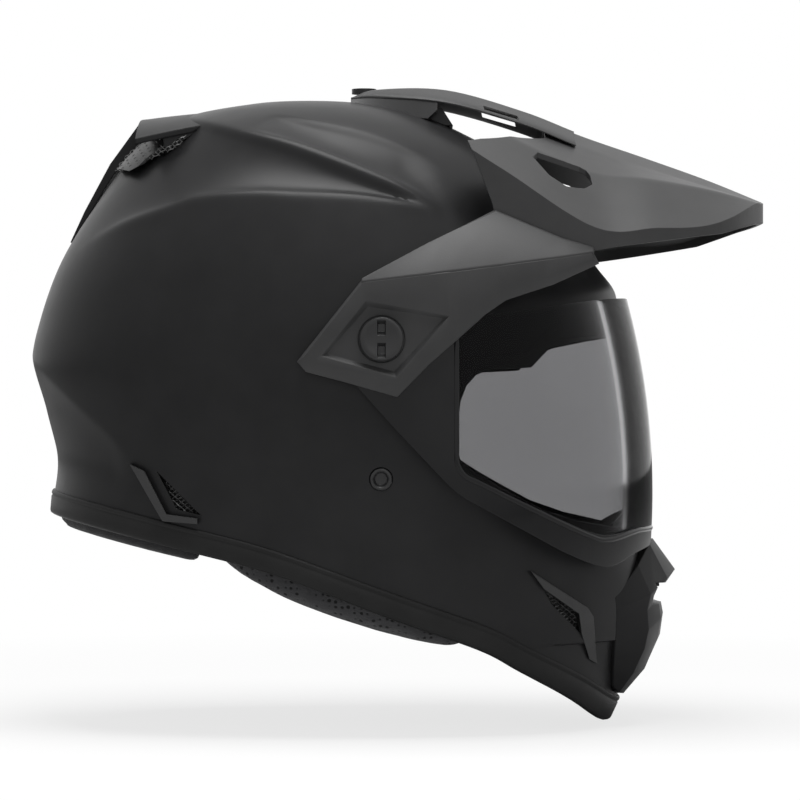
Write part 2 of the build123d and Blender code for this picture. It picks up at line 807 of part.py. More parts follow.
def ring_centre(index):
    # Each ring's upper bar lies in an eye of its own under the left strap's end.
    y, z = strap_end(strap_left_shares)
    return y, z - index * ring_pitch


def make_left_strap():
    profile = strap_profile(strap_left_shares)
    bore = ring_wire + pivot_hub_fit
    centres = [ring_centre(0), ring_centre(1)]
    for centre in centres:
        profile = profile + Pos(*centre) * Circle(bore + eye_wall)
    for centre in centres:
        profile = profile - Pos(*centre) * Circle(bore)
    return strap_body(profile)


def make_d_ring(index):
    # The first ring is the wider one, so that the second hangs inside it.
    y, top = ring_centre(index)
    half = ring_half + (1 - index) * ring_pitch
    low = ring_centre(0)[1] - ring_drop - (1 - index) * ring_pitch
    left, right = strap_x - half, strap_x + half
    legs = FilletPolyline((right, y, top), (right, y, low), (left, y, low), (left, y, top), radius=ring_bend)
    ring = sweep(Plane(origin=(right, y, top), z_dir=(0, 0, 1)) * Circle(ring_wire), path=legs)
    for x in (left, right):
        ring = ring + Pos(x, y, top) * Sphere(ring_wire)
    return ring + extrude(Plane(origin=(left, y, top), z_dir=(1, 0, 0)) * Circle(ring_wire), amount=2 * half)


brow_cover_shares = ((0.205, 0.900), (0.212, 1.004), (0.341, 0.972), (0.376, 0.900))


def make_brow_cover():
    profile = side_face(side_points(brow_cover_shares))
    cover = extrude(profile, amount=brow_cover_half, dir=(0, 1, 0), both=True) - shell_body(-face_gap)
    slot = block(brow_vent_x + running_gap, brow_vent_x + brow_vent_length - running_gap,
                 -brow_slot_half, brow_slot_half, 0, 2 * crown_height)
    return cover - slot


def make_brow_slider():
    (x0, z0), (x1, z1) = side_points(brow_cover_shares)[1:3]
    tilt = math.degrees(math.atan2(z0 - z1, x1 - x0))
    centre = Pos((x0 + x1) / 2, 0, (z0 + z1) / 2) * Rot(0, tilt, 0)
    lift = face_gap + brow_slider_thickness / 2
    return centre * Pos(0, 0, lift) * Box(brow_slider_length, 2 * brow_slider_half, brow_slider_thickness)


def write(node, shape):
    solids = shape.solids()
    joined = Compound(children=list(solids)) if len(solids) > 1 else solids[0]
    export_step(joined, f"parts/{node}.step")


def write_pair(node, left):
    write(node + "_left", left)
    write(node + "_right", mirrored(left))


os.makedirs("parts", exist_ok=True)
write("outer_shell", make_outer_shell())
whole_liner = make_whole_liner()
write("crown_liner", make_crown_liner(whole_liner))
write("chin_liner", make_chin_liner(whole_liner))
write("comfort_liner", make_comfort_liner())
write("bottom_trim", make_bottom_trim())
write("eyeport_gasket", make_eyeport_gasket())
write("neck_roll", make_neck_roll())
write("breath_deflector", make_breath_deflector())
write("face_shield", make_face_shield())
write("plate_screws", make_plate_screws())
write("peak", make_peak())
write("top_screw", make_top_screw())
write("top_insert", make_top_insert())
write("mouthpiece", make_mouthpiece())
write("mouth_shutter", make_mouth_shutter())
write("mouth_mesh", make_mouth_mesh())
write("rear_spoiler", make_rear_spoiler())
write("brow_vent_cover", make_brow_cover())
write("brow_vent_slider", make_brow_slider())
write_pair("pivot_plate", make_pivot_plate())
write_pair("side_insert", make_side_insert())
write_pair("side_screw", make_side_screw())
write_pair("chin_vent_lip", make_lip(chin_lip_shares))
write_pair("chin_vent_mesh", make_vent_mesh(chin_vent_shares))
write_pair("lower_exhaust_lip", make_lip(rear_lip_shares))
write_pair("lower_exhaust_mesh", make_vent_mesh(rear_vent_shares))
write_pair("upper_exhaust_mesh", make_upper_mesh())
write_pair("cheek_pad", make_cheek_pad())
write_pair("side_plug", make_side_plug())
write_pair("strap_anchor", make_strap_anchor())
write("strap_left", make_left_strap())
write("strap_right", mirrored(strap_body(strap_profile(strap_right_shares))))
write("d_ring_upper", make_d_ring(0))
write("d_ring_lower", make_d_ring(1))
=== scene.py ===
import json
import math

import bmesh
import bpy
import numpy as np
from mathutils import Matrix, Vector


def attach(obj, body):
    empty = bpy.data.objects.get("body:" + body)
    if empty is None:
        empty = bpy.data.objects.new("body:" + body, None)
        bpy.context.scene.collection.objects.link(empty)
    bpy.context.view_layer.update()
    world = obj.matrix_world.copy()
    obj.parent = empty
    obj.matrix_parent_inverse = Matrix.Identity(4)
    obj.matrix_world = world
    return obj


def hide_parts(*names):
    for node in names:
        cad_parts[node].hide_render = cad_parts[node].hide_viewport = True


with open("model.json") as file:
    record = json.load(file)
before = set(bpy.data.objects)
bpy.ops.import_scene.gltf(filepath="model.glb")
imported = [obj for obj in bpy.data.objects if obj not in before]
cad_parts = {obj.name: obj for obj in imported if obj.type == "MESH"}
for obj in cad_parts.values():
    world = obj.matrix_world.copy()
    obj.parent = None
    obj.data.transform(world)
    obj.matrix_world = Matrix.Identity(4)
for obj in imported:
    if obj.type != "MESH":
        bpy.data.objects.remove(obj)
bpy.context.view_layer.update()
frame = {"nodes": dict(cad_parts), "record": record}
nodes = frame["nodes"]

# Sizes are in millimetres and become metres when a mesh is made. Side outlines are pairs of x and z.
MM = 0.001
CROWN, CHIN, REAR, FRONT, WIDTH = 131.0, 196.0, 162.0, 170.0, 242.0
WALL, CROWN_RISE = 3.5, 0.7
FAR = 200.0  # how far a cut reaches past the shell
SIDES = ((1, "left"), (-1, "right"))
PIVOT, PLUG = (26.9, 3.6), (26.6, -65.9)

# Level outlines: height, rear, front, half width and middle as shares of the sizes above, and how full the
# front and the rear are.
SHELL = (
    (1.000, 0.185, 0.035, 0.107, -0.065, 2.0, 2.0),
    (0.987, 0.278, 0.129, 0.240, -0.070, 2.0, 2.0),
    (0.947, 0.438, 0.271, 0.397, -0.082, 2.0, 2.0),
    (0.870, 0.574, 0.412, 0.562, -0.082, 2.0, 2.0),
    (0.748, 0.685, 0.571, 0.711, -0.070, 2.0, 2.1),
    (0.557, 0.784, 0.712, 0.860, -0.047, 2.1, 2.2),
    (0.344, 0.883, 0.812, 0.950, -0.018, 2.2, 2.3),
    (0.122, 0.948, 0.876, 0.992, 0.012, 2.3, 2.3),
    (-0.041, 0.975, 0.912, 1.000, 0.035, 2.3, 2.3),
    (-0.168, 0.942, 0.941, 0.996, 0.059, 2.2, 2.3),
    (-0.311, 0.903, 0.953, 0.975, 0.082, 2.1, 2.3),
    (-0.434, 0.908, 0.949, 0.952, 0.094, 2.0, 2.3),
    (-0.592, 0.930, 0.971, 0.926, 0.094, 2.0, 2.2),
    (-0.714, 0.930, 0.982, 0.901, 0.082, 1.9, 2.2),
    (-0.867, 0.930, 0.924, 0.868, 0.071, 1.9, 2.2),
    (-1.080, 0.930, 0.812, 0.818, 0.059, 1.9, 2.2),
)
# The lower edge of the shell.
NECK = (
    (-181.4, -79.4), (-148.4, -84.9), (-75.0, -101.5), (-25.9, -114.1), (32.0, -136.0), (76.0, -152.1),
    (97.1, -163.7), (125.0, -179.9), (146.2, -195.4), (190.4, -225.4),
)


def smooth_rows(rows, steps):
    """Rows of numbers with a smooth curve through them, at even steps between each pair."""
    rows = np.asarray(rows, float)
    before = np.vstack([2 * rows[0] - rows[1], rows, 2 * rows[-1] - rows[-2]])
    out = []
    for i in range(1, len(rows)):
        p0, p1, p2, p3 = before[i - 1], before[i], before[i + 1], before[i + 2]
        for k in range(steps):
            u = k / steps
            out.append(0.5 * (2 * p1 + (p2 - p0) * u + (2 * p0 - 5 * p1 + 4 * p2 - p3) * u ** 2
                              + (3 * p1 - p0 - 3 * p2 + p3) * u ** 3))
    out.append(rows[-1])
    return np.array(out)


class Form:
    """A body made of level outlines, each a rounded ellipse with its own front and rear half."""

    def __init__(self, shares, rear, front, half, steps):
        rows = [(up * (CROWN if up > 0 else CHIN), -a * rear, b * front, h * half, m * front, pf, pr)
                for up, a, b, h, m, pf, pr in shares]
        self.rows = smooth_rows(rows, steps)
        self.heights = self.rows[:, 0]

    def row(self, z):
        return [np.interp(-np.asarray(z, float), -self.heights, self.rows[:, k]) for k in range(1, 7)]

    def ring(self, turn, z):
        rear, front, half, middle, pf, pr = self.row(z)
        c, s = np.cos(turn), np.sin(turn)
        power = np.where(c > 0, pf, pr)
        reach = np.where(c > 0, front - middle, middle - rear)
        x = middle + reach * np.sign(c) * np.abs(c) ** (2 / power)
        y = half * np.sign(s) * np.abs(s) ** (2 / power)
        return x, y

    def side(self, x, z):
        """Half the width at a place of the side view."""
        rear, front, half, middle, pf, pr = self.row(z)
        x = np.asarray(x, float)
        power = np.where(x > middle, pf, pr)
        reach = np.where(x > middle, front - middle, middle - rear)
        share = np.clip(np.abs((x - middle) / reach), 0, 1)
        return half * (1 - share ** power) ** (1 / power)

    def normal(self, x, z, step=1.0):
        """The outward direction of the left side at a place of the side view."""
        dx = (self.side(x + step, z) - self.side(x - step, z)) / (2 * step)
        dz = (self.side(x, z + step) - self.side(x, z - step)) / (2 * step)
        n = np.stack([-dx, np.ones_like(dx), -dz], -1)
        return n / np.linalg.norm(n, axis=-1, keepdims=True)

    def on(self, x, z, out=0.0):
        """Points on the left side, moved out along the normal."""
        x, z = np.asarray(x, float), np.asarray(z, float)
        p = np.stack([x, self.side(x, z), z], -1)
        return p + self.normal(x, z) * np.asarray(out, float)[..., None]


shell_form = Form(SHELL, REAR, FRONT, WIDTH / 2, 18)
neck_line = smooth_rows(NECK, 10)


def neck_z(x):
    return np.interp(x, neck_line[:, 0], neck_line[:, 1])


def make_object(name, verts, faces, mats, angle=35.0):
    mesh = bpy.data.meshes.new(name)
    mesh.from_pydata((np.asarray(verts, float) * MM).tolist(), [], [tuple(int(i) for i in f) for f in faces])
    mesh.validate()
    obj = bpy.data.objects.new(name, mesh)
    bpy.context.scene.collection.objects.link(obj)
    finish_mesh(obj, mats, angle)
    return obj


def finish_mesh(obj, mats, angle=35.0):
    mesh = obj.data
    bm = bmesh.new()
    bm.from_mesh(mesh)
    bmesh.ops.recalc_face_normals(bm, faces=bm.faces)
    bm.to_mesh(mesh)
    bm.free()
    mesh.shade_smooth()
    mesh.set_sharp_from_angle(angle=math.radians(angle))
    mesh.materials.clear()
    for mat in mats:
        mesh.materials.append(mat)


def apply_modifiers(obj):
    graph = bpy.context.evaluated_depsgraph_get()
    mesh = bpy.data.meshes.new_from_object(obj.evaluated_get(graph))
    obj.modifiers.clear()
    obj.data = mesh


def boolean(obj, cutter, operation):
    mod = obj.modifiers.new("cut", "BOOLEAN")
    mod.operation = operation
    mod.object = cutter
    mod.solver = "EXACT"
    apply_modifiers(obj)


def layered(name, rings, mats=()):
    """A solid through rings of points, of equal length, with flat ends."""
    n = len(rings[0])
    verts = [point for ring in rings for point in ring]
    faces = [tuple(range(n)), tuple(range(len(verts) - 1, len(verts) - n - 1, -1))]
    for k in range(0, len(verts) - n, n):
        faces += [(k + i, k + (i + 1) % n, k + n + (i + 1) % n, k + n + i) for i in range(n)]
    return make_object(name, verts, faces, mats)


def ringed(name, outlines, levels, mats=()):
    """A solid between side outlines of equal length at their distances from the middle plane."""
    return layered(name, [[(x, y, z) for x, z in line] for line, y in zip(outlines, levels)], mats)


def prism(name, outline, y0, y1):
    """A solid across the helmet."""
    return ringed(name, (outline, outline), (y0, y1))


def prism_up(name, outline, z0, z1):
    """A solid that stands on its plan."""
    return layered(name, [[(x, y, z) for x, y in outline] for z in (z0, z1)])


def turned(centre, profile, count, side=1):
    """Rings about a level axis across the helmet, one for each radius and place of a profile."""
    turn = np.linspace(0, 2 * np.pi, count, endpoint=False)
    return [[(centre[0] + r * math.cos(t), side * y, centre[1] + r * math.sin(t)) for t in turn]
            for r, y in profile]


def bar_along_y(name, centre, radius, y0, y1, count=64):
    return layered(name, turned(centre, ((radius, y0), (radius, y1)), count))


def plate_faces(rows, cols):
    """Faces of a closed plate between two grids of points: the outer one, the inner one and the rim."""
    second = rows * cols
    grid = np.arange(second).reshape(rows, cols)
    faces = []
    for i in range(rows - 1):
        for j in range(cols - 1):
            quad = (grid[i, j], grid[i, j + 1], grid[i + 1, j + 1], grid[i + 1, j])
            faces += [quad, tuple(v + second for v in quad[::-1])]
    rim = list(grid[0]) + list(grid[1:, -1]) + list(grid[-1, -2::-1]) + list(grid[-2:0:-1, 0])
    return faces + [(a, b, b + second, a + second) for a, b in zip(rim, rim[1:] + rim[:1])]


def discard(*objects):
    for obj in objects:
        bpy.data.objects.remove(obj)


def cut(obj, cutter):
    boolean(obj, cutter, "DIFFERENCE")
    discard(cutter)


def rounded(points, times=2, closed=True):
    """A polygon with its corners cut, over and over."""
    p = np.asarray(points, float)
    for _ in range(times):
        q = np.roll(p, -1, axis=0)
        cut = np.stack([0.75 * p + 0.25 * q, 0.25 * p + 0.75 * q], 1).reshape(-1, p.shape[1])
        p = cut if closed else np.vstack([p[:1], cut[:-2], p[-1:]])
    return p


def grown(points, amount):
    """A closed side outline moved outward by an amount."""
    p = np.asarray(points, float)
    ahead, behind = np.roll(p, -1, axis=0), np.roll(p, 1, axis=0)
    along = ahead - behind
    along /= np.linalg.norm(along, axis=1, keepdims=True)
    area = np.sum(p[:, 0] * ahead[:, 1] - ahead[:, 0] * p[:, 1])
    out = np.stack([along[:, 1], -along[:, 0]], 1) * (1 if area > 0 else -1)
    return p + out * amount


def inside(points, x, z):
    """Whether places of the side view lie in a polygon."""
    p = np.asarray(points, float)
    x, z = np.asarray(x, float), np.asarray(z, float)
    hit = np.zeros(x.shape, bool)
    for (x0, z0), (x1, z1) in zip(p, np.roll(p, -1, axis=0)):
        crosses = (z0 > z) != (z1 > z)
        with np.errstate(divide="ignore", invalid="ignore"):
            at = x0 + (z - z0) * (x1 - x0) / (z1 - z0)
        hit ^= crosses & (x < at)
    return hit


def step_up(value, low, high):
    """A soft step from 0 to 1."""
    t = np.clip((value - low) / (high - low), 0, 1)
    return t * t * (3 - 2 * t)


# Materials


def new_material(name):
    """An empty material, its nodes, and the coordinates that its textures follow."""
    mat = bpy.data.materials.new(name)
    mat.use_nodes = True
    tree = mat.node_tree
    tree.nodes.clear()
    return mat, tree, node(tree, "ShaderNodeTexCoord").outputs["Object"]


def node(tree, kind, inputs=None, **settings):
    made = tree.nodes.new(kind)
    for key, value in settings.items():
        setattr(made, key, value)
    for key, value in (inputs or {}).items():
        if isinstance(value, bpy.types.NodeSocket):
            tree.links.new(value, made.inputs[key])
        else:
            made.inputs[key].default_value = value
    return made


def noise(tree, where, scale, detail=3.0, rough=0.55):
    made = node(tree, "ShaderNodeTexNoise", {"Vector": where, "Scale": scale, "Detail": detail,
                                             "Roughness": rough})
    return made.outputs["Fac"]


def spread(tree, value, low, high, start=0.0, end=1.0):
    made = node(tree, "ShaderNodeMapRange", {"Value": value, "From Min": start, "From Max": end,
                                             "To Min": low, "To Max": high})
    return made.outputs["Result"]


def blend_colors(tree, value, dark, light):
    ramp = node(tree, "ShaderNodeValToRGB", {"Fac": value})
    ramp.color_ramp.elements[0].color = (*dark, 1)
    ramp.color_ramp.elements[1].color = (*light, 1)
    ramp.color_ramp.elements[0].position = 0.3
    ramp.color_ramp.elements[1].position = 0.7
    return ramp.outputs["Color"]


def combined(tree, operation, a, b):
    return node(tree, "ShaderNodeMath", {0: a, 1: b}, operation=operation).outputs[0]


def bumped(tree, height, strength, distance, **settings):
    return node(tree, "ShaderNodeBump", {"Height": height, "Strength": strength, "Distance": distance},
                **settings)


def finish_material(tree, bump, color, inputs):
    """The one shader of a solid material, and its output."""
    bsdf = node(tree, "ShaderNodeBsdfPrincipled", {"Base Color": color, "Normal": bump.outputs[0], **inputs})
    node(tree, "ShaderNodeOutputMaterial", {0: bsdf.outputs[0]})


def finish_mixed(tree, share, first, second, output="ShaderNodeOutputMaterial"):
    """Two shaders, the second seen by a share, and their output."""
    mix = node(tree, "ShaderNodeMixShader", {0: share, 1: first.outputs[0], 2: second.outputs[0]})
    node(tree, output, {0: mix.outputs[0]})


def moulded(name, dark, light, rough, specular, grain, depth, rounding=0.0, metallic=0.0):
    """A moulded, painted or metal surface with uneven gloss, a fine grain and softened edges."""
    mat, tree, where = new_material(name)
    bump = bumped(tree, noise(tree, where, grain, 4.0, 0.6), depth, 0.0003)
    if rounding:
        soft = node(tree, "ShaderNodeBevel", {"Radius": rounding * MM}, samples=6)
        tree.links.new(soft.outputs[0], bump.inputs["Normal"])
    gloss = spread(tree, noise(tree, where, 75.0), rough - 0.05, rough + 0.05)
    finish_material(tree, bump, blend_colors(tree, noise(tree, where, 38.0), dark, light),
                    {"Roughness": gloss, "Specular IOR Level": specular, "Metallic": metallic})
    return mat


def fabric(name, dark, light, depth, pitch=0.0):
    """Soft lining cloth: open holes on an even net, or with no pitch a plain brushed face."""
    mat, tree, where = new_material(name)
    pattern = height = noise(tree, where, 1500.0, 5.0, 0.7)
    if pitch:
        cells = node(tree, "ShaderNodeTexVoronoi", {"Vector": where, "Scale": 1000.0 / pitch,
                                                    "Randomness": 0.25})
        pattern = spread(tree, cells.outputs["Distance"], 0.0, 1.0, 0.18, 0.42)
        height = combined(tree, "MULTIPLY", pattern, height)
    finish_material(tree, bumped(tree, height, depth, 0.0006), blend_colors(tree, pattern, dark, light),
                    {"Roughness": 0.9, "Specular IOR Level": 0.15,
                     "Sheen Weight": 0.15, "Sheen Roughness": 0.5})
    return mat


def webbing(name, dark, light):
    """Flat woven strap with ribs across it."""
    mat, tree, where = new_material(name)
    ribs, cross = (node(tree, "ShaderNodeTexWave", {"Vector": where, "Scale": scale, "Distortion": 0.3},
                        wave_type="BANDS", bands_direction=direction).outputs["Fac"]
                   for scale, direction in ((230.0, "X"), (180.0, "DIAGONAL")))
    weave = combined(tree, "MULTIPLY", ribs, cross)
    finish_material(tree, bumped(tree, weave, 0.7, 0.0004), blend_colors(tree, weave, dark, light),
                    {"Roughness": 0.75, "Specular IOR Level": 0.2})
    return mat


def foam(name, dark, light):
    """Expanded foam with its beads."""
    mat, tree, where = new_material(name)
    beads = node(tree, "ShaderNodeTexVoronoi", {"Vector": where, "Scale": 300.0, "Randomness": 0.9})
    beads = beads.outputs["Distance"]
    bump = bumped(tree, beads, 0.4, 0.0008, invert=True)
    finish_material(tree, bump, blend_colors(tree, beads, light, dark),
                    {"Roughness": 0.85, "Specular IOR Level": 0.2})
    return mat


def smoke_window(name, tint):
    """Smoke tinted window: it darkens what lies behind it and keeps a soft gloss."""
    mat, tree, where = new_material(name)
    shade = blend_colors(tree, noise(tree, where, 9.0, 1.0), tint, tuple(t * 1.03 for t in tint))
    clear = node(tree, "ShaderNodeBsdfTransparent", {"Color": shade})
    haze = spread(tree, noise(tree, where, 60.0), 0.04, 0.09)
    gloss = node(tree, "ShaderNodeBsdfGlossy", {"Color": WHITE, "Roughness": haze})
    fresnel = node(tree, "ShaderNodeFresnel", {"IOR": 1.12})
    finish_mixed(tree, fresnel.outputs[0], clear, gloss)
    return mat


WHITE = (1, 1, 1, 1)


def grey(level):
    """A grey with a trace of blue."""
    return level, level, level + 0.0005


paint = moulded("shell_paint", grey(0.013), grey(0.017), 0.37, 0.13, 1400.0, 0.06)
paint_edge = moulded("shell_paint_cad", grey(0.012), grey(0.016), 0.4, 0.12, 1400.0, 0.06, 1.2)
peak_mat = moulded("peak_plastic", grey(0.038), grey(0.046), 0.43, 0.18, 1100.0, 0.14, 0.5)
dark_mat = moulded("dark_plastic", grey(0.010), grey(0.015), 0.36, 0.25, 900.0, 0.1, 0.5)
knob_mat = moulded("knob_plastic", grey(0.012), grey(0.018), 0.3, 0.35, 900.0, 0.08, 0.4)
rubber = moulded("edge_rubber", (0.010, 0.010, 0.010), (0.015, 0.015, 0.015), 0.45, 0.14, 700.0, 0.1, 0.6)
border_mat = moulded("window_border", grey(0.007), grey(0.010), 0.16, 0.2, 600.0, 0.02, 0.5)
wire_mat = moulded("wire_mesh", (0.05, 0.05, 0.05), (0.09, 0.09, 0.09), 0.4, 0.5, 900.0, 0.1, 0.0, 0.6)
steel = moulded("steel", (0.45, 0.45, 0.46), (0.6, 0.6, 0.6), 0.3, 0.5, 500.0, 0.05, 0.3, 1.0)
brass = moulded("brass", (0.55, 0.42, 0.2), (0.7, 0.55, 0.3), 0.35, 0.5, 500.0, 0.05, 0.3, 1.0)
foam_mat = foam("foam", (0.014, 0.014, 0.014), (0.03, 0.03, 0.03))
comfort_mat = fabric("comfort_fabric", (0.010, 0.010, 0.011), (0.028, 0.028, 0.029), 0.5)
pad_mat = fabric("pad_fabric", (0.006, 0.006, 0.006), (0.045, 0.045, 0.047), 0.8, 3.2)
strap_mat = webbing("webbing", (0.006, 0.006, 0.006), (0.03, 0.03, 0.03))
window_mat = smoke_window("smoke_window", (0.63, 0.63, 0.635))


# Shell: a closed wall from the level outlines, with raised crests, pressed hollows and a full brow.

UPPER_RIDGE = ((-112, 119), (-100, 121.4), (-76, 118.7), (-38, 108), (-17, 101.8), (18, 88), (44, 76.3),
               (62, 64.7))
ARCH_EDGE = ((-125, 52), (-106, 61), (-83, 68.4), (-66, 73.7), (-38, 75.8), (-17, 75.3), (18, 73.7),
             (53, 67.8), (62, 64.7))
TOP_CREASE = ((-30, 122), (-17, 119.3), (18, 111.3), (44, 101.8), (62, 93.8))
REAR_CREASE = ((-160, 0), (-137, -21), (-113, -41.3), (-100, -54.6))
CHEEK_CREASE = ((-45, -53), (-27, -65.7), (3, -87), (35, -109.7), (63, -130.9), (90, -151))
BROW_BULGE, BROW_Z, BROW_SPREAD = 5.0, 28, 12


def crease_distance(p, line):
    """For points of the surface: the distance to a line on it, the share along it, and which lie above it."""
    flat = smooth_rows(line, 6)
    on = shell_form.on(flat[:, 0], flat[:, 1])
    best = np.full(len(p), 1e9)
    share = np.zeros(len(p))
    half = np.stack([p[:, 0], np.abs(p[:, 1]), p[:, 2]], 1)
    for i, (start, end) in enumerate(zip(on, on[1:])):
        along = end - start
        t = np.clip((half - start) @ along / (along @ along), 0, 1)
        d = np.linalg.norm(half - start - t[:, None] * along, axis=1)
        nearer = d < best
        best[nearer] = d[nearer]
        share[nearer] = (i + t[nearer]) / (len(on) - 1)
    above = half[:, 2] > np.interp(half[:, 0], flat[:, 0], flat[:, 1])
    return best, share, above


def from_crest(distance, radius):
    """The distance to a crease whose crest is rounded."""
    return np.hypot(distance, radius) - radius


def hollow(depth, one, other, edge):
    """A trough between two creases, from the distances to them, that fades out at each."""
    share = one / np.maximum(one + other, 1e-6)
    return -depth * 4 * share * (1 - share) * step_up(one, 0, 6) * step_up(other, 0, edge)


def falling(depth, distance, run):
    """A skin that falls away from a crease."""
    return -depth * (1 - np.exp(-from_crest(distance, 3) / run))


def shell_relief(p):
    """How far the skin stands off the level outlines."""
    ridge, _, over_ridge = crease_distance(p, UPPER_RIDGE)
    arch, _, over_arch = crease_distance(p, ARCH_EDGE)
    rear, _, over_rear = crease_distance(p, REAR_CREASE)
    cheek, cheek_share, over_cheek = crease_distance(p, CHEEK_CREASE)
    top, top_share, over_top = crease_distance(p, TOP_CREASE)
    x, z = p[:, 0], p[:, 2]
    fade = step_up(x, -135, -95) * (1 - step_up(x, 30, 60))
    relief = np.where(~over_ridge & over_arch, hollow(2.9, ridge, arch, 6), 0.0) * fade
    relief += 1.9 * np.exp(-from_crest(ridge, 2.6) / np.where(over_ridge, 9, 5)) * fade
    relief += 1.8 * np.exp(-from_crest(arch, 2.6) / np.where(over_arch, 5, 12)) * fade
    fade = step_up(top_share, 0.0, 0.35) * (1 - step_up(x, 36, 60))
    relief += np.where(over_ridge & ~over_top, hollow(2.4, ridge, top, 8), 0.0) * fade
    low = step_up(z - neck_z(x), 8, 34)
    relief += np.where(over_rear, 0.0, falling(2.6, rear, 9)) * low * step_up(-x, 96, 112)
    fade = step_up(cheek_share, 0.0, 0.3) * step_up(x, -45, -10)
    relief += np.where(over_cheek, 0.0, falling(2.4, cheek, 12)) * low * fade
    return relief + BROW_BULGE * np.exp(-((z - BROW_Z) / BROW_SPREAD) ** 2) * step_up(x, 100, 138)


def wall_mesh(form, turns, thickness, relief):
    """Vertices and faces of a closed wall: outer skin, inner skin, the rim between them and two crowns."""
    turn = np.linspace(0, 2 * np.pi, turns, endpoint=False)
    grid_t, grid_z = np.meshgrid(turn, form.heights)
    x, y = form.ring(grid_t, grid_z)
    p = np.stack([x, y, grid_z], -1)
    along = np.roll(p, -1, axis=1) - np.roll(p, 1, axis=1)
    down = np.gradient(p, axis=0)
    normal = np.cross(down, along)
    normal /= np.linalg.norm(normal, axis=-1, keepdims=True)
    p = p + normal * relief(p.reshape(-1, 3)).reshape(p.shape[:2])[..., None]
    inner = p - normal * thickness
    rows, cols = p.shape[:2]
    verts = list(p.reshape(-1, 3)) + list(inner.reshape(-1, 3))
    faces = []
    second = rows * cols
    for i in range(rows - 1):
        for j in range(cols):
            a, b = i * cols + j, i * cols + (j + 1) % cols
            quad = (a, b, b + cols, a + cols)
            faces += [quad, tuple(v + second for v in quad[::-1])]
    last = (rows - 1) * cols
    for j in range(cols):
        k = (j + 1) % cols
        faces.append((last + j, last + k, second + last + k, second + last + j))
    for base in (0, second):
        way = 1 if base == 0 else -1
        ring = np.array(verts[base:base + cols])
        centre = ring.mean(0)
        ids = range(base, base + cols)
        for share in (0.6, 0.25):
            start = len(verts)
            rise = np.array([0, 0, CROWN_RISE * (1 - share * share)])
            verts += list(centre + (ring - centre) * share + rise)
            for j in range(cols):
                k = (j + 1) % cols
                faces.append((ids[k], ids[j], start + j, start + k)[::way])
            ids = range(start, start + cols)
        verts.append(centre + np.array([0, 0, CROWN_RISE]))
        for j in range(cols):
            faces.append((ids[(j + 1) % cols], ids[j], len(verts) - 1)[::way])
    return verts, faces


WINDOW = ((68, -11.8), (102, -10.2), (115.6, 3.9), (240, 17), (240, -96.4), (130, -93.7), (71.4, -62.3),
          (63.2, -52.9))
REAR_VENT = ((-86.2, -62.3), (-76.1, -81.3), (-63.5, -84.3))
CHIN_VENT = ((108.8, -123.1), (126.1, -134.1), (127.8, -145.4), (113.1, -130.3))
UPPER_VENT = ((-113, 91), (-105, 109.5), (-73, 109.5), (-76, 103), (-93, 96))
BROW_SLOT = ((40, 60), (56, 60), (56, 200), (40, 200))
MOUTH_SLOT = ((118, -133), (240, -133), (240, -121), (118, -121))
NECK_LIFT = 2.5


def make_shell():
    verts, faces = wall_mesh(shell_form, 420, WALL, shell_relief)
    shell = make_object("shell", verts, faces, [paint], 50)
    low = [(x, z + NECK_LIFT) for x, z in neck_line]
    low += [(low[-1][0], -300.0), (low[0][0], -300.0)]
    cutters = [prism("cut_neck", low, -FAR, FAR), prism("cut_window", rounded(WINDOW, 2), -FAR, FAR)]
    for side, _ in SIDES:
        ends = sorted((30 * side, FAR * side))
        cutters += [prism("cut_rear", REAR_VENT, *ends), prism("cut_chin", CHIN_VENT, *ends)]
        cutters.append(bar_along_y("cut_seat", PIVOT, 19.3, *sorted((118.6 * side, FAR * side))))
        cutters.append(bar_along_y("cut_plug", PLUG, 6.0, *sorted((100 * side, FAR * side)), 40))
    cutters.append(prism("cut_brow", BROW_SLOT, -9, 9))
    cutters.append(prism("cut_mouth", MOUTH_SLOT, -24, 24))
    for cutter in cutters:
        cut(shell, cutter)
    finish_mesh(shell, [paint], 32)
    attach(shell, "shell")
    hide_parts("outer_shell")


def swept_ring(name, rings, mats, angle=40.0, closed=True):
    """A tube from profiles of equal length, the last of which joins the first where it is closed."""
    rings = np.asarray(rings, float)
    count, around = rings.shape[:2]
    verts = rings.reshape(-1, 3)
    faces = []
    for i in range(count if closed else count - 1):
        j = (i + 1) % count
        for k in range(around):
            m = (k + 1) % around
            faces.append((i * around + k, i * around + m, j * around + m, j * around + k))
    if not closed:
        faces.append(tuple(range(around)))
        faces.append(tuple(range(count * around - 1, (count - 1) * around - 1, -1)))
    return make_object(name, verts, faces, mats, angle)


def make_trim():
    """The rubber edge: a rounded channel with a groove under its upper lip."""
    count = 420
    turn = np.linspace(0, 2 * np.pi, count, endpoint=False)
    z = np.full(count, -130.0)
    for _ in range(40):
        x, y = shell_form.ring(turn, z)
        z = 0.5 * z + 0.5 * neck_z(x)
    profile = [(1.5, 1.4), (1.5, 8.6), (1.1, 9.1), (1.1, 9.7), (1.5, 10.2), (1.4, 11.3), (0.9, 12.0),
               (0.05, 12.1), (-3.6, 12.0), (-5.0, 11.2), (-5.0, 1.2), (-4.2, 0.1), (-1.8, -0.5), (0.3, -0.2),
               (1.2, 0.4)]
    rings = []
    for out, up in profile:
        x, y = shell_form.ring(turn, z + up)
        ahead = np.stack(shell_form.ring(turn + 0.01, z + up), -1)
        behind = np.stack(shell_form.ring(turn - 0.01, z + up), -1)
        along = ahead - behind
        along /= np.linalg.norm(along, axis=1, keepdims=True)
        rings.append(np.stack([x + along[:, 1] * out, y - along[:, 0] * out, z + up], -1))
    trim = swept_ring("bottom_trim_edge", np.array(rings).transpose(1, 0, 2), [rubber], 50)
    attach(trim, "shell")
    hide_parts("bottom_trim")


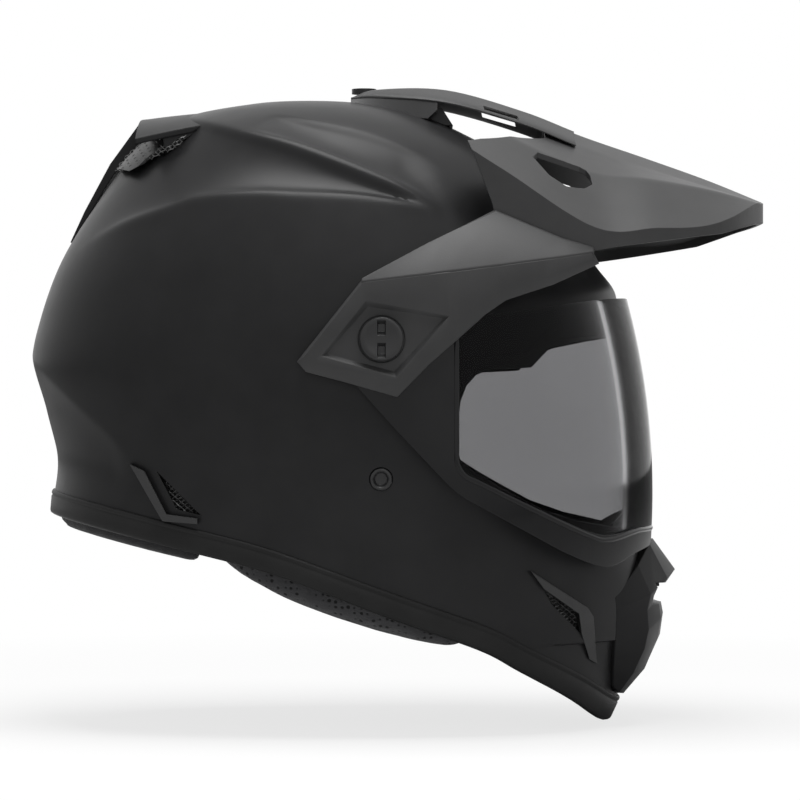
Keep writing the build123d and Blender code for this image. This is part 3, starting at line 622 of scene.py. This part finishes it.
WIRE_PITCH, WIRE_RADIUS, WIRE_WAVE = 2.1, 0.33, 0.35


def wire_patch(name, outline, out, side):
    """Woven wire over an opening, as two families of thin bars on the shell's surface."""
    p = np.asarray(outline, float)
    lo, hi = p.min(0) - 2, p.max(0) + 2
    verts, faces = [], []
    reach = np.linalg.norm(hi - lo)
    centre = (lo + hi) / 2
    for family, angle in enumerate((math.radians(35), math.radians(-40))):
        along = np.array([math.cos(angle), math.sin(angle)])
        across = np.array([-along[1], along[0]])
        for k in np.arange(-reach / 2, reach / 2, WIRE_PITCH):
            s = np.arange(-reach / 2, reach / 2, 0.8)
            q = centre + across * k + along * s[:, None]
            good = inside(outline, q[:, 0], q[:, 1])
            runs = np.split(np.arange(len(s)), np.where(np.diff(good.astype(int)) != 0)[0] + 1)
            for run in runs:
                if len(run) < 3 or not good[run[0]]:
                    continue
                n = shell_form.normal(q[run, 0], q[run, 1])
                weave = WIRE_WAVE * np.sin(np.pi * s[run] / WIRE_PITCH + family * np.pi)
                pts = shell_form.on(q[run, 0], q[run, 1], out) + n * weave[:, None]
                across_wire = np.cross(np.gradient(pts, axis=0), n)
                across_wire /= np.linalg.norm(across_wire, axis=1, keepdims=True)
                start = len(verts)
                for a, b in ((1, 0), (0, 1), (-1, 0), (0, -1)):
                    verts += list(pts + across_wire * a * WIRE_RADIUS + n * b * WIRE_RADIUS)
                m = len(run)
                for f in range(4):
                    one, two = start + f * m, start + (f + 1) % 4 * m
                    faces += [(one + i, two + i, two + i + 1, one + i + 1) for i in range(m - 1)]
    obj = make_object(name, np.array(verts) * (1, side, 1), faces, [wire_mat], 60)
    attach(obj, "shell")
    return obj


def make_vents():
    for side, label in SIDES:
        for vent, outline, out in (("lower_exhaust", grown(REAR_VENT, 1.2), -1.8),
                                   ("chin_vent", grown(CHIN_VENT, 1.0), -1.8),
                                   ("upper_exhaust", UPPER_VENT, 0.9)):
            mesh = wire_patch(vent + "_wires_" + label, outline, out, side)
            if vent != "upper_exhaust":
                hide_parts(vent + "_mesh_" + label)


# Peak: the sections of its top, its plan, the lower edge of its sides, its spine and its arms.
PEAK_REACH, MIDDLE_HALF, PEAK_WALL, SPINE_WALL, RECESS_DEPTH = 228.0, 24, 3.0, 2.4, 2.8
PEAK_TOP = np.array((
    (0.270, 1.045, 0.995, 0.940, 0.815, 0.263, 0.425), (0.395, 0.991, 0.916, 0.840, 0.676, 0.263, 0.443),
    (0.583, 0.866, 0.803, 0.690, 0.462, 0.263, 0.465), (0.724, 0.781, 0.725, 0.664, 0.454, 0.254, 0.452),
    (0.877, 0.685, 0.641, 0.620, 0.485, 0.219, 0.360), (1.010, 0.588, 0.572, 0.557, 0.535, 0.175, 0.263),
)) * (PEAK_REACH, CROWN, CROWN, CROWN, CROWN, PEAK_REACH, PEAK_REACH)
PEAK_REAR = ((111.9, 30.1), (91.0, 62.0), (77.1, 80.0))
PEAK_SIDE = ((66.1, 98.0), (83.9, 101.9), (139.1, 106.7), (163.2, 103.1), (187.0, 92.1), (206.3, 73.0))
PEAK_FRONT = ((219.8, 46.7), (226.2, 22.8))
PEAK_LOW = ((58.1, 144.1), (69.8, 105.6), (82.1, 73.0), (83.2, 68.4), (117.0, 54.5), (132.5, 47.9),
            (143.0, 50.0), (163.0, 52.7), (200.0, 58.0), (218.9, 64.2), (239.4, 69.4))
INTAKE = ((101.9, 65.9), (127.0, 57.9), (131.1, 60.0), (132.9, 72.0), (116.1, 82.1))
SPINE = np.array(((0.045, 1.018, 1.015, 0.068), (0.105, 1.050, 1.020, 0.078), (0.265, 1.048, 0.992, 0.120),
                  (0.440, 0.964, 0.905, 0.128), (0.560, 0.882, 0.820, 0.132)))
SPINE *= (PEAK_REACH, CROWN, CROWN, PEAK_REACH)
ARM_OUTER = ((16.8, 32.4), (68.7, 38.4), (115.6, 45.1), (132.4, 47.9), (135.7, 41.7), (112.4, 31),
             (88.6, 23), (78.5, 16), (65.3, 4.1), (50.8, -8.6), (34.7, -25.1), (8.3, -17.6),
             (-10.4, -12.7), (-15.0, -7.5))
ARM_INNER = ((17.6, 31.6), (68.9, 37.6), (115.8, 44.2), (131.6, 46.7), (132.8, 43.5), (111, 35.5),
             (87, 28.5), (75.5, 21.5), (61.6, 9.6), (46.8, -3.2), (33.0, -17.8), (9.4, -11.6),
             (-7.2, -7.8), (-11.8, -5.6))
ARM_FACE = ((-20.4, 128.4), (3.4, 129.4), (49.3, 129.4), (60.0, 128.9), (90.1, 122.5), (137.7, 109.1))
ARM_FACET = ((17.0, 32.4, 127.1, 33.8), (50.0, 36.2, 118.0, 52.0), (62.1, 37.7, 113.1, 58.0),
             (84.0, 40.5, 104.0, 68.4), (117.0, 45.2, 107.0, 54.5), (132.9, 47.9, 107.5, 49.8))
DIAMOND = ((19.7, 21.4), (59.3, 14.5), (33.7, -14.1), (-1.9, -4.3))
SPINE_SLOT = ((79.5, 127.6), (97.5, 122.2), (98.2, 119.9), (80.2, 125.2))


def peak_height(x, y, rows):
    """The height of the top from its sections, evened out a little across their folds."""
    middle, edge, arch, fold, arch_half, fold_half = (
        np.interp(x, rows[:, 0], rows[:, k]) for k in range(1, 7))
    total = 0
    for shift in np.linspace(-2, 2, 9):
        away = np.abs(y + shift)
        flat = middle + (edge - middle) * away / MIDDLE_HALF
        side = edge + (arch - edge) * (away - MIDDLE_HALF) / (arch_half - MIDDLE_HALF)
        outer = arch + (fold - arch) * (away - arch_half) / (fold_half - arch_half)
        total = total + np.where(away < MIDDLE_HALF, flat, np.where(away < arch_half, side, outer))
    return total / 9


def height_solid(name, lower):
    """All that lies under the peak's top, lowered by an amount."""
    rows = smooth_rows(PEAK_TOP, 10)
    x, y = np.meshgrid(np.linspace(58, 231, 88), np.linspace(-112, 112, 113), indexing="ij")
    top = np.stack([x, y, peak_height(x, y, rows) - lower], -1).reshape(-1, 3)
    low = top * (1, 1, 0)
    n, m = x.shape
    grid = np.arange(n * m).reshape(n, m)
    faces = [(grid[i, j], grid[i + 1, j], grid[i + 1, j + 1], grid[i, j + 1]) for i in range(n - 1)
             for j in range(m - 1)]
    rim = list(grid[:, 0]) + list(grid[-1, 1:]) + list(grid[-2::-1, -1]) + list(grid[0, -2:0:-1])
    faces.append(tuple(n * m + np.array(rim[::-1])))
    faces += [(a, b, n * m + b, n * m + a) for a, b in zip(rim, rim[1:] + rim[:1])]
    return make_object(name, np.vstack([top, low]), faces, [peak_mat])


def peak_plan(name, inward):
    """The peak's plan, drawn in by an amount."""
    side = [(a, b - inward) for a, b in PEAK_SIDE] + [(a - inward, b - inward / 2) for a, b in PEAK_FRONT]
    curve = smooth_rows(side + [(a, -b) for a, b in reversed(side)], 5)
    rear = [(0, side[0][1])] if inward else list(PEAK_REAR)
    outline = rear + [tuple(p) for p in curve] + [(a, -b) for a, b in reversed(rear)]
    return prism_up(name, outline, -5, 200)


def make_visor():
    visor, inner = height_solid("peak_visor", 0.0), height_solid("cut_inner", PEAK_WALL)
    cutters = [(peak_plan("cut_plan", 0.0), visor), (peak_plan("cut_inner_plan", PEAK_WALL), inner)]
    for cutter, obj in cutters:
        boolean(obj, cutter, "INTERSECT")
    keep = prism("cut_keep", PEAK_LOW + ((239.4, 171), (58.1, 171)), -FAR, FAR)
    boolean(visor, keep, "INTERSECT")
    boolean(visor, inner, "DIFFERENCE")
    discard(keep, inner, *(cutter for cutter, _ in cutters))
    for side, _ in SIDES:
        outline = [(a, side * b) for a, b in rounded(grown(INTAKE, 2.2), 1)]
        cut(visor, prism_up("cut_intake", outline, 0, 262))
    finish_mesh(visor, [peak_mat], 30)
    return visor


def shell_top(x, y):
    """The height of the shell over a place of its plan."""
    low, high = 20.0, CROWN
    for _ in range(24):
        z = (low + high) / 2
        low, high = (z, high) if shell_form.side(x, z) > y else (low, z)
    return low


def make_spine():
    rings, under = [], []
    for x, top, edge, half in smooth_rows(SPINE, 8):
        crest = [(-half, edge), (-13, top - 1.6), (-9, top), (9, top), (13, top - 1.6), (half, edge)]
        line = crest + [(y, z - SPINE_WALL) for y, z in reversed(crest)]
        rings.append([(x, y, z) for y, z in rounded(line, 2)])
        if x > 59:
            continue
        skin = shell_top(x, half + 2.5) - 0.4
        rise = np.clip((x - 49) / 9, 0, 1) * (edge - 2.5 - skin)
        foot, lip = skin + rise, edge - 0.8
        line = [(-half - 2.2, foot), (-half + 0.6, lip), (half - 0.6, lip), (half + 2.2, foot),
                (half - 3, foot - 0.5), (3 - half, foot - 0.5)]
        under.append([(x, y, z) for y, z in line])
    spine = swept_ring("peak_spine", rings, [peak_mat], 30, False)
    cut(spine, prism("cut_slot", SPINE_SLOT, -60, 60))
    seat = swept_ring("peak_tab", under, [peak_mat], 30, False)
    finish_mesh(spine, [peak_mat], 30)
    return [spine, seat]


def bevelled(obj, width, angle=25):
    mod = obj.modifiers.new("edge", "BEVEL")
    mod.width = width * MM
    mod.segments = 2
    mod.limit_method = "ANGLE"
    mod.angle_limit = math.radians(angle)
    mod.use_clamp_overlap = True
    apply_modifiers(obj)


def sliced(obj, places):
    """More edges across a piece, so that it can bend."""
    bm = bmesh.new()
    bm.from_mesh(obj.data)
    for x in places:
        bmesh.ops.bisect_plane(bm, geom=bm.verts[:] + bm.edges[:] + bm.faces[:], dist=1e-7,
                               plane_co=(x * MM, 0, 0), plane_no=(1, 0, 0))
    bm.to_mesh(obj.data)
    bm.free()


def make_arm(side, label):
    arm = ringed("peak_arm_" + label, (ARM_OUTER, ARM_OUTER, ARM_INNER), (-4.0, -2.0, 0.0), [peak_mat])
    wide = grown(DIAMOND, 1.3)
    cut(arm, ringed("cut_recess", (grown(DIAMOND, -1.7), wide, wide), (-RECESS_DEPTH, 0.05, 3)))
    bevelled(arm, 0.5)
    cut(arm, bar_along_y("cut_gap", PIVOT, 11.7, -3.6, 3, 96))
    sliced(arm, np.arange(44, 136, 5.0))
    face = smooth_rows(ARM_FACE, 8)
    for vert in arm.data.vertices:
        vert.co.y = side * (vert.co.y + np.interp(vert.co.x / MM, face[:, 0], face[:, 1]) * MM)
    finish_mesh(arm, [peak_mat], 30)
    rings = []
    for x, fold, half, edge in ARM_FACET:
        y = np.interp(x, face[:, 0], face[:, 1])
        inner = [(half - 1.5, edge - 1), (half - 3, edge - 2)]
        if x > 80:
            inner = [(half - 5, edge + 1), (half - 5, edge - 0.3)]
        line = [(y - 0.3, fold - 1.5), (y, fold), (half, edge), *inner, (y - 3, fold - 2)]
        rings.append([(x, side * a, b) for a, b in line])
    facet = swept_ring("peak_facet_" + label, rings, [peak_mat], 20, False)
    bevelled(facet, 0.6, 14)
    finish_mesh(facet, [peak_mat], 30)
    return [arm, facet]


def make_peak():
    pieces = [make_visor(), *make_spine()]
    for side in SIDES:
        pieces += make_arm(*side)
    for piece in pieces:
        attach(piece, "shell")
        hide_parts("peak")


def make_side_screws():
    profile = ((0.02, 130.9), (3.2, 130.9), (7.8, 131.2), (9.9, 131.6), (10.5, 131.4), (10.9, 130.8),
               (10.9, 125.6), (4.0, 125.5), (4.0, 112.5), (0.02, 112.5))
    for side, label in SIDES:
        head = swept_ring("screw_head_" + label, turned(PIVOT, profile, 96), [knob_mat], 30, False)
        for low, high in ((1.7, 9.3), (-9.3, -1.7)):
            wide, narrow = ([(PIVOT[0] + a, PIVOT[1] + b) for a, b in (
                (-half, low + end), (half, low + end), (half, high - end), (-half, high - end))]
                for half, end in ((2.1, 0), (1.7, 1.9)))
            cut(head, ringed("cut_slot", (narrow, wide, wide), (128.9, 131.1, 134)))
        for vert in head.data.vertices:
            vert.co.y *= side
        finish_mesh(head, [knob_mat], 30)
        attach(head, "side_screw_" + label)
        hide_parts("side_screw_" + label)


def make_side_plugs():
    out = float(shell_form.side(*PLUG))
    profile = [(radius, out + up) for radius, up in (
        (0.02, -1.6), (2.9, -1.5), (3.4, -0.2), (4.4, 0.5), (5.2, 0.4), (5.75, -0.3), (5.8, -2.8),
        (0.02, -2.8))]
    for side, label in SIDES:
        plug = swept_ring("plug_" + label, turned(PLUG, profile, 64, side), [knob_mat], 35, False)
        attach(plug, "shell")
        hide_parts("side_plug_" + label)


SPOILER = np.array((
    (-0.330, 0.962, 0.900, 0.284), (-0.480, 0.948, 0.862, 0.333), (-0.618, 0.927, 0.822, 0.358),
)) * (REAR, CROWN, CROWN, REAR)


def make_rear_fairing():
    """The body below the spoiler's plate, which closes it against the shell and leaves its rear lip free."""
    xs, shares = np.linspace(-54.5, -87, 9), np.linspace(-0.985, 0.985, 33)
    top, low = [], []
    for x in xs:
        crown, edge, half = (np.interp(-x, -SPOILER[:, 0], SPOILER[:, k]) for k in (1, 2, 3))
        for share in shares:
            y, z = share * half, crown - (crown - edge) * share ** 2 - 0.4
            top.append((x, y, z))
            low.append((x + 2.5, y, min(shell_top(x + 2.5, abs(y)) - 1.5, z - 1.2)))
    faces = plate_faces(len(xs), len(shares))
    fairing = make_object("rear_fairing", top + low, faces, [paint_edge], 35)
    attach(fairing, "shell")


# Mouthpiece: rows from its top to its foot, each with points from the middle outward.
MOUTH = (
    ((170.0, 0, -99.8), (167.0, 17, -101.8), (160.0, 34, -112.5), (147.0, 54.5, -128.3)),
    ((181.8, 0, -116.1), (176.6, 18, -120.0), (166.6, 35, -127.5), (147.8, 54.0, -135.5)),
    ((173.4, 0, -128.2), (171.6, 19, -130.5), (164.8, 35, -136.0), (147.6, 52.5, -143.5)),
    ((175.4, 0, -139.0), (173.0, 19, -141.0), (165.4, 36, -146.0), (147.4, 50.0, -151.5)),
    ((173.8, 0, -150.5), (171.0, 19, -152.0), (163.2, 36, -156.0), (147.2, 47.5, -160.5)),
    ((166.4, 0, -167.0), (164.4, 19, -167.4), (157.6, 34, -168.6), (147.0, 43.0, -170.0)),
    ((154.5, 0, -181.0), (153.4, 18, -180.4), (150.8, 30, -178.6), (146.8, 38.0, -175.6)),
)


COVER_SLOT = ((150, -133.0), (200, -133.5), (200, -123.5), (150, -121.0))


def make_mouthpiece():
    half = np.array(MOUTH, float)
    half[:, -1, 1] = shell_form.side(half[:, -1, 0], half[:, -1, 2]) + 0.2
    rows = np.concatenate([(half * (1, -1, 1))[:, :0:-1], half], 1)
    inner = rows + (np.array([118.0, 0, 0]) - rows * (1, 1, 0)) * 0.12
    verts = np.concatenate([rows.reshape(-1, 3), inner.reshape(-1, 3)])
    cover = make_object("mouth_cover", verts, plate_faces(*rows.shape[:2]), [paint_edge], 20)
    cut(cover, prism("cut_slot", COVER_SLOT, -28, 28))
    bevelled(cover, 0.7, 14)
    finish_mesh(cover, [paint_edge], 32)
    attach(cover, "shell")
    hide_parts("mouthpiece")


SHIELD_AXIS = np.array([-220.0, -75.0])
SHIELD_HALF, SHIELD_MIDDLE, SHIELD_THICK = 124.4, 45.2, 2.2
SHIELD_OUTLINE = (
    (49, 15.5), (76, 15.7), (117, 21.6), (146, 26.2), (187, 29), (187, -98), (158, -104.5), (147, -111),
    (138, -111.7), (119, -103.5), (102.3, -94), (76, -79.6), (63.9, -73), (47.9, -55.9), (36, -43.5),
    (20.2, -26), (8, -12), (4, 6), (8, 18), (26, 24.7),
)
SHIELD_CLEAR = (
    (64.5, -58), (64, -20), (64.5, 40), (240, 60), (240, -91), (163, -91.5), (143, -96), (131.5, -93.5),
    (104, -80.5), (77, -67.2), (68, -63),
)
WINDOW_LOW = ((64.5, -58.5), (68, -64), (77, -68.5), (104, -82), (131.5, -95), (143, -97.6), (163, -93.2),
              (187, -92.6))


def shield_wall(inset):
    """Points of the shield's skin: flat sides and a half circle in plan, turned about a far level axis."""
    half = SHIELD_HALF - inset
    turn = np.linspace(math.pi / 2, -math.pi / 2, 121)
    side = np.linspace(-80, 0, 24, endpoint=False)
    x = SHIELD_MIDDLE + np.concatenate([side, half * np.cos(turn), side[::-1]])
    y = np.concatenate([np.full(24, half), half * np.sin(turn), np.full(24, -half)])
    angle = np.radians(np.linspace(-10, 30, 60))[:, None]
    reach = x - SHIELD_AXIS[0]
    return np.stack([SHIELD_AXIS[0] + reach * np.cos(angle), np.broadcast_to(y, (60, len(y))),
                     SHIELD_AXIS[1] + reach * np.sin(angle)], -1)


BEAD_RISE, BEAD_HALF = 0.55, 1.3


def make_window_bead():
    """A fine raised bead that follows the lower edge of the window around the front."""
    low = smooth_rows(WINDOW_LOW, 6)
    centre, away = [], []
    line = [(64.2, z) for z in np.linspace(12, -56, 18)]
    line += [(x, np.interp(x, low[:, 0], low[:, 1])) for x in np.linspace(64.6, 160, 60)]
    for x, z in line:
        reach = math.hypot(x - SHIELD_AXIS[0], z - SHIELD_AXIS[1]) + SHIELD_AXIS[0] - SHIELD_MIDDLE
        if reach >= SHIELD_HALF:
            break
        half = math.sqrt(SHIELD_HALF ** 2 - max(reach, 0) ** 2)
        centre.append((x, half, z))
        away.append((max(reach, 0), half, 0))
    last = math.atan2(centre[-1][1], centre[-1][0] - SHIELD_MIDDLE)
    for t in np.linspace(last, 0, 24)[1:]:
        reach = SHIELD_MIDDLE + SHIELD_HALF * math.cos(t) - SHIELD_AXIS[0]
        z = np.interp(160, low[:, 0], low[:, 1])
        x = SHIELD_AXIS[0] + math.sqrt(reach ** 2 - (z - SHIELD_AXIS[1]) ** 2)
        centre.append((x, SHIELD_HALF * math.sin(t), z))
        away.append((math.cos(t), math.sin(t), 0))
    centre = np.array(centre + [(x, -y, z) for x, y, z in centre[-2::-1]])
    away = np.array(away + [(a, -b, c) for a, b, c in away[-2::-1]], float)
    away /= np.linalg.norm(away, axis=1, keepdims=True)
    across = np.cross(away, np.gradient(centre, axis=0))
    across /= np.linalg.norm(across, axis=1, keepdims=True)
    section = [(BEAD_RISE * math.sin(t), BEAD_HALF * math.cos(t))
               for t in np.linspace(0, 2 * np.pi, 10, endpoint=False)]
    rings = [[c + a * up + b * wide for up, wide in section] for c, a, b in zip(centre, away, across)]
    bead = swept_ring("shield_bead", rings, [border_mat], 60, False)
    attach(bead, "shield")


def make_face_shield():
    walls = np.stack([shield_wall(0.0), shield_wall(SHIELD_THICK)])
    verts, faces = walls.reshape(-1, 3), plate_faces(*walls.shape[1:3])
    outline = rounded(SHIELD_OUTLINE, 2)
    border_cut = prism("cut_border", outline, -200, 200)
    hole = prism("cut_hole", rounded(SHIELD_CLEAR, 2), -220, 220)
    window_cut = prism("cut_window", outline, -210, 210)
    boolean(border_cut, hole, "DIFFERENCE")
    boolean(window_cut, hole, "INTERSECT")
    border = make_object("shield_border", verts, faces, [border_mat], 40)
    clear = make_object("shield_window", verts, faces, [window_mat], 40)
    boolean(border, border_cut, "INTERSECT")
    boolean(clear, window_cut, "INTERSECT")
    discard(border_cut, hole, window_cut)
    make_window_bead()
    hub_profile = ((9.1, 121.3), (9.1, 124.6), (20.4, 124.6), (20.9, 124.3), (21.0, 121.3))
    for side, label in SIDES:
        cut(border, bar_along_y("cut_bore", PIVOT, 9.06, *sorted((60 * side, FAR * side))))
        hub = swept_ring("shield_hub_" + label, turned(PIVOT, hub_profile, 72, side), [border_mat], 35)
        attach(hub, "shield")
    for piece, mat in ((border, border_mat), (clear, window_mat)):
        finish_mesh(piece, [mat], 35)
        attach(piece, "shield")
        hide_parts("face_shield")


def softened(name, cad, mat, voxel, times, swell=0.0, cap=0.0):
    """A soft piece from its CAD solid: an even skin with rounded edges and a middle that swells a little."""
    mesh = nodes[cad].data.copy()
    obj = bpy.data.objects.new(name, mesh)
    bpy.context.scene.collection.objects.link(obj)
    remesh = obj.modifiers.new("even", "REMESH")
    remesh.mode = "VOXEL"
    remesh.voxel_size = voxel * MM
    smooth = obj.modifiers.new("soft", "SMOOTH")
    smooth.factor = 0.5
    smooth.iterations = times
    if swell:
        grow = obj.modifiers.new("swell", "DISPLACE")
        grow.strength = swell * MM
        grow.mid_level = 0
    apply_modifiers(obj)
    if cap:
        filled_by_cloth(obj, cap)
    finish_mesh(obj, [mat], 80)
    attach(obj, "shell")
    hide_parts(cad)


def filled_by_cloth(obj, cap):
    """Let the cover swell under its filling, with the movement of each point kept below a cap."""
    before = np.empty(len(obj.data.vertices) * 3)
    obj.data.vertices.foreach_get("co", before)
    cloth = obj.modifiers.new("cloth", "CLOTH")
    cloth.settings.use_pressure = True
    cloth.settings.uniform_pressure_force = 4.0
    cloth.settings.effector_weights.gravity = 0
    cloth.settings.quality = 4
    for frame_number in range(1, 21):
        bpy.context.scene.frame_set(frame_number)
    apply_modifiers(obj)
    bpy.context.scene.frame_set(1)
    after = np.empty_like(before)
    obj.data.vertices.foreach_get("co", after)
    move = (after - before).reshape(-1, 3)
    size = np.linalg.norm(move, axis=1, keepdims=True)
    move *= np.minimum(1, cap * MM / np.maximum(size, 1e-9))
    obj.data.vertices.foreach_set("co", (before.reshape(-1, 3) + move).ravel())
    obj.data.update()


def make_soft_pieces():
    for side in ("left", "right"):
        softened("cheek_cushion_" + side, "cheek_pad_" + side, pad_mat, 3.0, 8,
                 0.5, 2.5)
    softened("lining", "comfort_liner", comfort_mat, 2.5, 6)
    softened("neck_cushion", "neck_roll", comfort_mat, 2.4, 8, 0.6, 2.0)


STRAP_X, STRAP_WIDTH, STRAP_THICK = 8.0, 22, 1.5


def strap_piece(name, cad, path):
    """A flat strap along a path of the front view, with thin selvedges."""
    line = rounded(path, 2, False)
    along = np.gradient(line, axis=0)
    along /= np.linalg.norm(along, axis=1, keepdims=True)
    n = np.stack([-along[:, 1], along[:, 0]], 1)
    half = STRAP_WIDTH / 2
    section = [(-half, 0.25), (-half + 1.0, 0.5), (half - 1.0, 0.5), (half, 0.25)]
    section += [(a, -b) for a, b in section[::-1]]
    rings = []
    for (y, z), (ny, nz) in zip(line, n):
        rings.append([(STRAP_X + a, y + ny * b * STRAP_THICK, z + nz * b * STRAP_THICK) for a, b in section])
    strap = swept_ring(name, rings, [strap_mat], 40, False)
    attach(strap, "shell")
    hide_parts(cad)


def make_straps():
    left = ((111, -71.2), (62.3, -71.2), (53.2, -80.4), (48.4, -91.0), (49.6, -94.2), (48.6, -99.2))
    right = ((111, -71.2), (62.3, -71.2), (52.0, -82.3), (39.9, -96.0), (21.8, -107.8), (-6.0, -109.8))
    strap_piece("strap_with_rings", "strap_left", left)
    strap_piece("strap_loose_end", "strap_right", [(-y, z) for y, z in right])


def dress_cad():
    table = {
        "shell_paint": paint_edge, "peak_plastic": peak_mat, "dark_plastic": dark_mat, "edge_rubber": rubber,
        "smoke_window": window_mat, "foam": foam_mat, "comfort_fabric": comfort_mat, "pad_fabric": pad_mat,
        "webbing": strap_mat, "wire_mesh": wire_mat, "steel": steel, "brass": brass,
    }
    for part in frame["record"]["subparts"]:
        obj = nodes[part["node"]]
        mat = dark_mat if part["node"].startswith("upper_exhaust") else table[part["material_slot"]]
        for slot in obj.material_slots:
            slot.material = mat
        if not obj.material_slots:
            obj.data.materials.append(mat)


# The floor, the light and the camera, in metres.
FLOOR_Z = -0.1975
CAMERA_PLACE, CAMERA_LENS = (0.03604, -1.9, -0.0265), 161.3


def make_stage():
    mesh = bpy.data.meshes.new("floor")
    corners = ((-9, -3.5), (9, -3.5), (9, 14), (-9, 14))
    mesh.from_pydata([(x, y, FLOOR_Z) for x, y in corners], [], [(0, 1, 2, 3)])
    floor = bpy.data.objects.new("floor", mesh)
    bpy.context.scene.collection.objects.link(floor)
    mat, tree, where = new_material("floor")
    diffuse = node(tree, "ShaderNodeBsdfDiffuse", {"Color": (0.95, 0.95, 0.95, 1)})
    glow = node(tree, "ShaderNodeEmission", {"Color": WHITE, "Strength": 1.0})
    away = node(tree, "ShaderNodeVectorMath", {0: where, 1: (0.05, 0.0, FLOOR_Z)}, operation="DISTANCE")
    white = spread(tree, away.outputs["Value"], 0.76, 1.0, 0.3, 0.75)
    seen = node(tree, "ShaderNodeLightPath").outputs
    finish_mixed(tree, combined(tree, "MULTIPLY", seen["Is Camera Ray"], white), diffuse, glow)
    mesh.materials.append(mat)
    world = bpy.data.worlds.new("studio")
    bpy.context.scene.world = world
    world.use_nodes = True
    tree = world.node_tree
    tree.nodes.clear()
    seen = node(tree, "ShaderNodeLightPath").outputs
    share = combined(tree, "MAXIMUM", seen["Is Camera Ray"], seen["Is Transmission Ray"])
    share = combined(tree, "MAXIMUM", share, seen["Is Glossy Ray"])
    soft, white = (node(tree, "ShaderNodeBackground", {"Color": WHITE, "Strength": strength})
                   for strength in (0.18, 1.0))
    finish_mixed(tree, share, soft, white, "ShaderNodeOutputWorld")


def add_light(name, place, target, size, power):
    data = bpy.data.lights.new(name, "AREA")
    data.shape = "RECTANGLE"
    data.size, data.size_y = size
    data.energy = power
    obj = bpy.data.objects.new(name, data)
    obj.location = place
    obj.rotation_euler = (Vector(target) - Vector(place)).to_track_quat("-Z", "Y").to_euler()
    bpy.context.scene.collection.objects.link(obj)


def make_view():
    data = bpy.data.cameras.new("camera")
    data.lens = CAMERA_LENS
    data.sensor_width = 36
    camera = bpy.data.objects.new("camera", data)
    camera.location = CAMERA_PLACE
    camera.rotation_euler = (math.radians(90), 0, 0)
    bpy.context.scene.collection.objects.link(camera)
    bpy.context.scene.camera = camera
    bpy.context.scene.view_settings.view_transform = "Standard"
    add_light("top_light", (0.08, -0.22, 1.4), (0, 0, 0), (0.75, 1.2), 26)
    add_light("front_fill", (0.5, -1.7, 0.8), (0, 0, 0), (1.0, 1.0), 3)


make_view()
make_stage()
dress_cad()
make_shell()
make_trim()
make_vents()
make_face_shield()
make_peak()
make_side_screws()
make_side_plugs()
make_rear_fairing()
make_mouthpiece()
make_soft_pieces()
make_straps()
